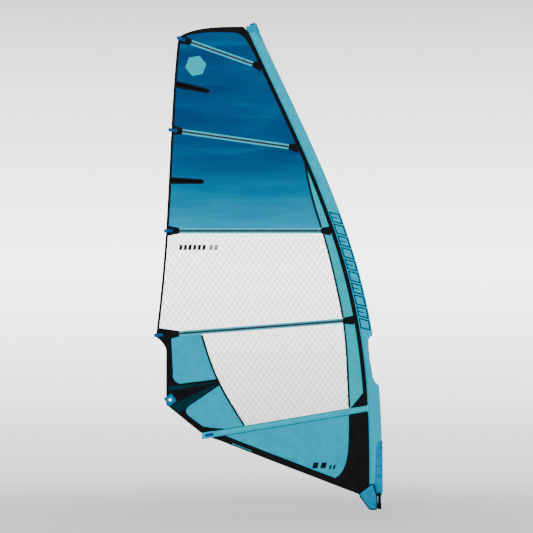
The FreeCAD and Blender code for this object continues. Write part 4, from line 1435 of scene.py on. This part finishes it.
def make_strap():
    """Webbing loop round the bar of the tack block, with its sewn tail to the sleeve."""
    y, low, high, radius = STRAP_LOOP

    def turn(z, first, last):
        return [(y + radius * math.cos(a), z + radius * math.sin(a))
                for a in np.radians(np.linspace(first, last, 13))]

    lower, upper = turn(low, 180, 360), turn(high, 0, 180)
    path = lower + [(y + radius, z) for z in np.linspace(low, high, 12)[1:-1]] + upper
    path += [(y - radius, z) for z in np.linspace(high, low, 12)[1:-1]]
    verts, faces = [], []
    count = len(path)
    for k, (py, pz) in enumerate(path):
        before, after = path[k - 1], path[(k + 1) % count]
        dy, dz = after[0] - before[0], after[1] - before[1]
        size = math.hypot(dy, dz)
        ny, nz = dz / size, -dy / size
        for f in np.linspace(0, 1, 7):
            x = STRAP_X[0] + f * (STRAP_X[1] - STRAP_X[0])
            rib = 0.0006 if 0 < f < 1 else 0.0002
            verts.append((x, py + ny * rib, pz + nz * rib))
        for f in np.linspace(1, 0, 7):
            x = STRAP_X[0] + f * (STRAP_X[1] - STRAP_X[0])
            verts.append((x, py - ny * 0.0006, pz - nz * 0.0006))
    ring = 14
    for k in range(count):
        for n in range(ring):
            a, b = k * ring + n, k * ring + (n + 1) % ring
            c = ((k + 1) % count) * ring
            faces.append((a, b, c + (n + 1) % ring, c + n))
    loop_piece = new_object("tack_strap_loop", verts, faces, FINISH["webbing"])
    fix_normals(loop_piece)
    sail_piece(loop_piece, "black_webbing", "tack_strap")
    tail = [tube([(x, y + radius + 0.0006, 0.133 + dz), (x, -0.0262, 0.133 + dz)], 0.0012, 6)
            for x in np.linspace(-0.0045, 0.0111, 8) for dz in (-0.003, 0.003)]
    sail_piece(joined("tack_strap_tail", tail, FINISH["webbing"]), "black_webbing")
    threads = []
    for x in np.linspace(STRAP_X[0] + 0.003, STRAP_X[1] - 0.003, 4):
        threads.append(tube([(x, y - radius - 0.0009, z) for z in np.linspace(0.085, 0.135, 12)], 0.0005, 5))
    sail_piece(joined("strap_stitching", threads, FINISH["thread"]), "black_cloth")
    covers = []
    for front_y in (-0.0586, -0.0309):
        ring = [(x, front_y + depth, z) for depth in (0.0, 0.0014)
                for x, z in ((-0.0102, 0.026), (0.0168, 0.026), (0.0168, 0.056), (-0.0102, 0.056))]
        covers.append((ring, [(0, 1, 2, 3), (7, 6, 5, 4), (0, 4, 5, 1),
                              (1, 5, 6, 2), (2, 6, 7, 3), (3, 7, 4, 0)]))
    sail_piece(joined("tack_block_cover", covers, FINISH["dark"]), "black_plastic", body="tack_block")


# ---------------------------------------------------------------- head
SLEEVE_THREADS = []     # filled by make_head and sleeve_stitching, which joins them


def make_head():
    """Webbing collar round the top of the sleeve, and the strap patch down its front edge."""
    heights = sleeve_heights(4.106, 4.1655, 0.006)
    collar = sleeve_cloth("head_collar", heights, FINISH["collar"], 50, thickness=0.0013, grow=0.0017,
                          top_slope=TOP_SLOPE)
    flat, area = sleeve_cut(heights, 0.0013)
    heights = np.linspace(4.036, 4.150, 16)
    rows = [(z, 0.60 if z > 4.048 else 0.72, 1.0) for z in heights]
    meshes = [wall_strip(rows, side, 0.0020, 0.0012) for side in (-1, 1)]
    sail_piece(joined("head_strap_patch", meshes, FINISH["collar"]), "sleeve_cloth")
    for z in (4.112, 4.118, 4.144):
        for side in (-1, 1):
            points = nose_band(z, back(z) + 0.004, 1.0, 30, 0.0019)
            path = [(x, side * y, z + top_rise(x, z) + (0.0006 if n % 2 else -0.0006))
                    for n, (x, y) in enumerate(points)]
            SLEEVE_THREADS.append(tube(path, 0.0005, 5))


def wall_strip(rows, side, offset, thickness, columns=8):
    """Thin plate on the sleeve's wall: rows of (height, from, to), as fractions of the wall's length."""
    verts = []
    for z, start, end in rows:
        section = np.array(half_section(z, 160, 0.0))
        along = lengths_along(section)
        along /= along[-1]
        for lift in (offset - thickness, offset):
            grown = np.array(half_section(z, 160, lift))
            t = np.linspace(start, min(end, 0.999), columns)
            for x, y in zip(np.interp(t, along, grown[:, 0]), np.interp(t, along, grown[:, 1])):
                verts.append((float(x), float(side * y), float(z)))
    faces, ring = [], 2 * columns
    for k in range(len(rows) - 1):
        a, b = k * ring, (k + 1) * ring
        for n in range(columns - 1):
            faces.append((a + n, a + n + 1, b + n + 1, b + n))
            faces.append((a + columns + n, b + columns + n, b + columns + n + 1, a + columns + n + 1))
        faces.append((a, b, b + columns, a + columns))
        faces.append((a + columns - 1, a + 2 * columns - 1, b + 2 * columns - 1, b + columns - 1))
    for a in (0, (len(rows) - 1) * ring):
        for n in range(columns - 1):
            faces.append((a + n, a + columns + n, a + columns + n + 1, a + n + 1))
    return verts, faces


# ---------------------------------------------------------------- printed marks, all plain shapes
def sleeve_marks():
    """Row of plain slanted frames printed on the sleeve above the boom cut-out."""
    meshes = []
    first, last, count = 1.545, 2.560, 10
    pitch = (last - first) / count
    for n in range(count):
        low = first + n * pitch + 0.006
        high = low + pitch - 0.014
        bars = [((low, low + 0.010), 0.10, 0.80), ((high - 0.010, high), 0.10, 0.80),
                ((low, high), 0.10, 0.18), ((low, high), 0.72, 0.80)]
        if n % 2:
            bars.append((((low + high) / 2 - 0.004, (low + high) / 2 + 0.004), 0.10, 0.55))
        for side in (-1, 1):
            for (z0, z1), start, end in bars:
                rows = [(z, start, end) for z in np.linspace(z0, z1, 2 if z1 - z0 < 0.02 else 6)]
                meshes.append(slanted_strip(rows, side, 0.030))
    sail_piece(joined("sleeve_print", meshes, FINISH["navy"]), "sleeve_cloth")


def slanted_strip(rows, side, slant):
    """Wall strip whose columns climb with distance from the seam."""
    verts, faces = wall_strip(rows, side, 0.0011, 0.0008)
    z0 = rows[0][0]
    depth = evenly(SLEEVE_DEPTH, z0)
    tilted = [(x, y, z + slant * (1 - (x - back(z)) / depth) - slant / 2) for x, y, z in verts]
    shifted = []
    for (x, y, z), (_, _, old) in zip(tilted, verts):
        shifted.append((x + front(z) - front(old), y, z))
    return shifted, faces


PRINT_THICKNESS = 0.0003


def skin_plate(outline, offset, step=0.02):
    """Flat printed shape on both faces of the sail."""
    points, edges = loop(outline)
    xz, tris = fill_plan(np.array(points, float), edges, step)
    y = skin(xz[:, 0], xz[:, 1])
    return [thick_sheet(xz, tris, y, PRINT_THICKNESS, side * offset) for side in (-1, 1)]


def bar(x, z, width, height, slant):
    """Slanted bar, from its lower left corner."""
    return [(x, z), (x + width, z), (x + width + slant, z + height), (x + slant, z + height)]


HEAD_MARK = (-1.575, 3.817, 0.092)      # X, Z and size of the hexagon


def body_marks():
    """Plain hexagon near the head, dashes on the window and bars beside the foot."""
    x, z, size = HEAD_MARK
    corners = [math.radians(60 * n + 10) for n in range(6)]
    hexagon = [(x + size * math.cos(a), z + size * math.sin(a)) for a in corners]
    sail_piece(joined("head_mark", skin_plate(hexagon, 0.0008), FINISH["luff"]), "cyan_cloth")
    dark, pale, blue = [], [], []
    for n in range(6):
        dark += skin_plate(bar(-1.722 + n * 0.040, 2.232, 0.027, 0.046, 0.008), 0.0008)
    for n in range(2):
        pale += skin_plate(bar(-1.462 + n * 0.042, 2.232, 0.030, 0.046, 0.008), 0.0008)
    for x, width in ((-0.575, 0.052), (-0.505, 0.052)):
        dark += skin_plate(bar(x, 0.358, width - 0.008, 0.050, 0.014), 0.0009)
    for x in (-0.432, -0.398):
        dark += skin_plate(bar(x, 0.350, 0.016, 0.036, 0.010), 0.0009)
    for n in range(9):
        x = -1.262 + n * 0.019
        z = 0.565 - 0.386 * (x + 1.262)
        light_bar = [(x, z), (x + 0.013, z - 0.005), (x + 0.015, z + 0.003), (x + 0.002, z + 0.008)]
        blue += skin_plate(light_bar, 0.0016)
    sail_piece(joined("dark_marks", dark, FINISH["black"]), "black_cloth")
    sail_piece(joined("pale_marks", pale, FINISH["grey"]), "cyan_cloth")
    sail_piece(joined("foot_marks", blue, FINISH["luff"]), "cyan_cloth")


# ---------------------------------------------------------------- tensioners
def batten_box(i, along, across, out, size):
    """Small box on batten i's axes: its middle and its size along, across and out of the sail."""
    slope = BATTENS[i][2]
    u = Vector((1, 0, slope)).normalized()
    v = Vector((-slope, 0, 1)).normalized()
    z_mouth = batten_z(i, mouth(i))
    start = Vector((mouth(i), belly(mouth(i), z_mouth)[1], z_mouth))
    middle = start + u * along + v * across + Vector((0, out, 0))
    verts = []
    for a in (-0.5, 0.5):
        for b in (-0.5, 0.5):
            for c in (-0.5, 0.5):
                verts.append(tuple(middle + u * a * size[0] + v * b * size[1] + Vector((0, c * size[2], 0))))
    faces = [(0, 1, 3, 2), (4, 6, 7, 5), (0, 4, 5, 1), (2, 3, 7, 6), (0, 2, 6, 4), (1, 5, 7, 3)]
    return verts, faces


def make_tensioners():
    """Ribs on both faces of each housing, a thin dark plate on each face that is painted shade standing for
    its slot, and a bound edge round it.
    """
    ribs, windows = [], []
    for i in range(5):
        rims = [batten_box(i, -0.0365, across, 0.0, (0.075, 0.0024, 0.0090)) for across in (-0.0142, 0.0142)]
        rims.append(batten_box(i, 0.0007, 0.0, 0.0, (0.0022, 2 * BATTENS[i][3] - 0.002, 0.0100)))
        if i == 4:
            rims += [batten_box(i, -0.0028, across, 0.0, (0.0065, 0.0150, 0.0040))
                     for across in (-0.0215, 0.0215)]
        flap = batten_box(i, -0.0665, 0.0, 0.0100, (0.0190, 0.0300, 0.0012))
        cloth = "black" if i < 4 else "pocket"
        for name, boxes in (("tensioner_rim_%d", rims), ("tensioner_flap_%d", [flap])):
            sail_piece(joined(name % (i + 1), boxes, FINISH[cloth]), cloth + "_cloth")
        for side in (-1, 1):
            for across in (-0.0062, 0.0062):
                ribs.append(batten_box(i, -0.034, across, side * 0.0084, (0.052, 0.0016, 0.0016)))
            for k in range(4):
                ribs.append(batten_box(i, -0.0545 + 0.0042 * k, 0.0, side * 0.0083, (0.0014, 0.0100, 0.0014)))
            # thin dark plate on each face of the housing: painted shade that stands for the slot's recess
            windows.append(batten_box(i, -0.020, 0.0, side * 0.0080, (0.022, 0.0052, 0.0007)))
    sail_piece(joined("tensioner_ribs", ribs, FINISH["blue"]), "blue_plastic")
    sail_piece(joined("tensioner_slot_shade", windows, FINISH["dark"]), "black_plastic")


def sleeve_stitching():
    """Two rows beside the sleeve's back seam, and the bound edge of the boom cut-out."""
    for inset in (0.006, 0.012):
        for z0, z1 in ((0.13, 1.50), (1.51, 4.10)):
            heights = np.arange(z0, z1, 0.012)
            for side in (-1, 1):
                path = []
                for n, z in enumerate(heights):
                    x = back(z) + inset + (0.001 if n % 2 else -0.001)
                    path.append((x, side * (wall_y(x, z) + 0.0010), z))
                SLEEVE_THREADS.append(tube(path, 0.00055, 3))
    edge = []
    for side in (-1, 1):
        line = []
        for z in np.linspace(1.068, 1.502, 60):
            x = min(cut_edge(z), front(z) - 0.001)
            line.append((x - 0.0005, side * (wall_y(x, z) + 0.0002), z))
        edge.append(tube(line, 0.0013, 6))
    sail_piece(joined("cutout_binding", edge, FINISH["thread"]), "black_cloth")
    sail_piece(joined("sleeve_stitching", SLEEVE_THREADS, FINISH["seam"]), "sleeve_cloth")


make_camera()
make_world()
make_lights()
make_stage()
def numbered(name, count):
    return ["%s_%d" % (name, n) for n in range(1, count + 1)]


paint_cad("steel", "clew_eyelet", "protector_eyelet")
paint_cad("screw", *numbered("tension_screw", 5))
paint_cad("blue", "head_cap", *numbered("tensioner_housing", 5), *numbered("batten_plug", 5))
paint_cad("dark", "tack_block_frame", "tack_block_axle", *numbered("tack_sheave", 3))
paint_cad("rod", "leech_battens", *numbered("batten", 5))
make_panels()
make_battens()
make_pocket_end()
make_patches()
make_leech_pockets()
make_seams()
make_scrim()
make_clew()
make_sleeve(FINISH["sleeve"])
make_protector()
make_fairing()
make_strap()
make_head()
sleeve_marks()
body_marks()
make_tensioners()
sleeve_stitching()
finish_stitches({"white": FINISH["white"], "dark": FINISH["thread"]})
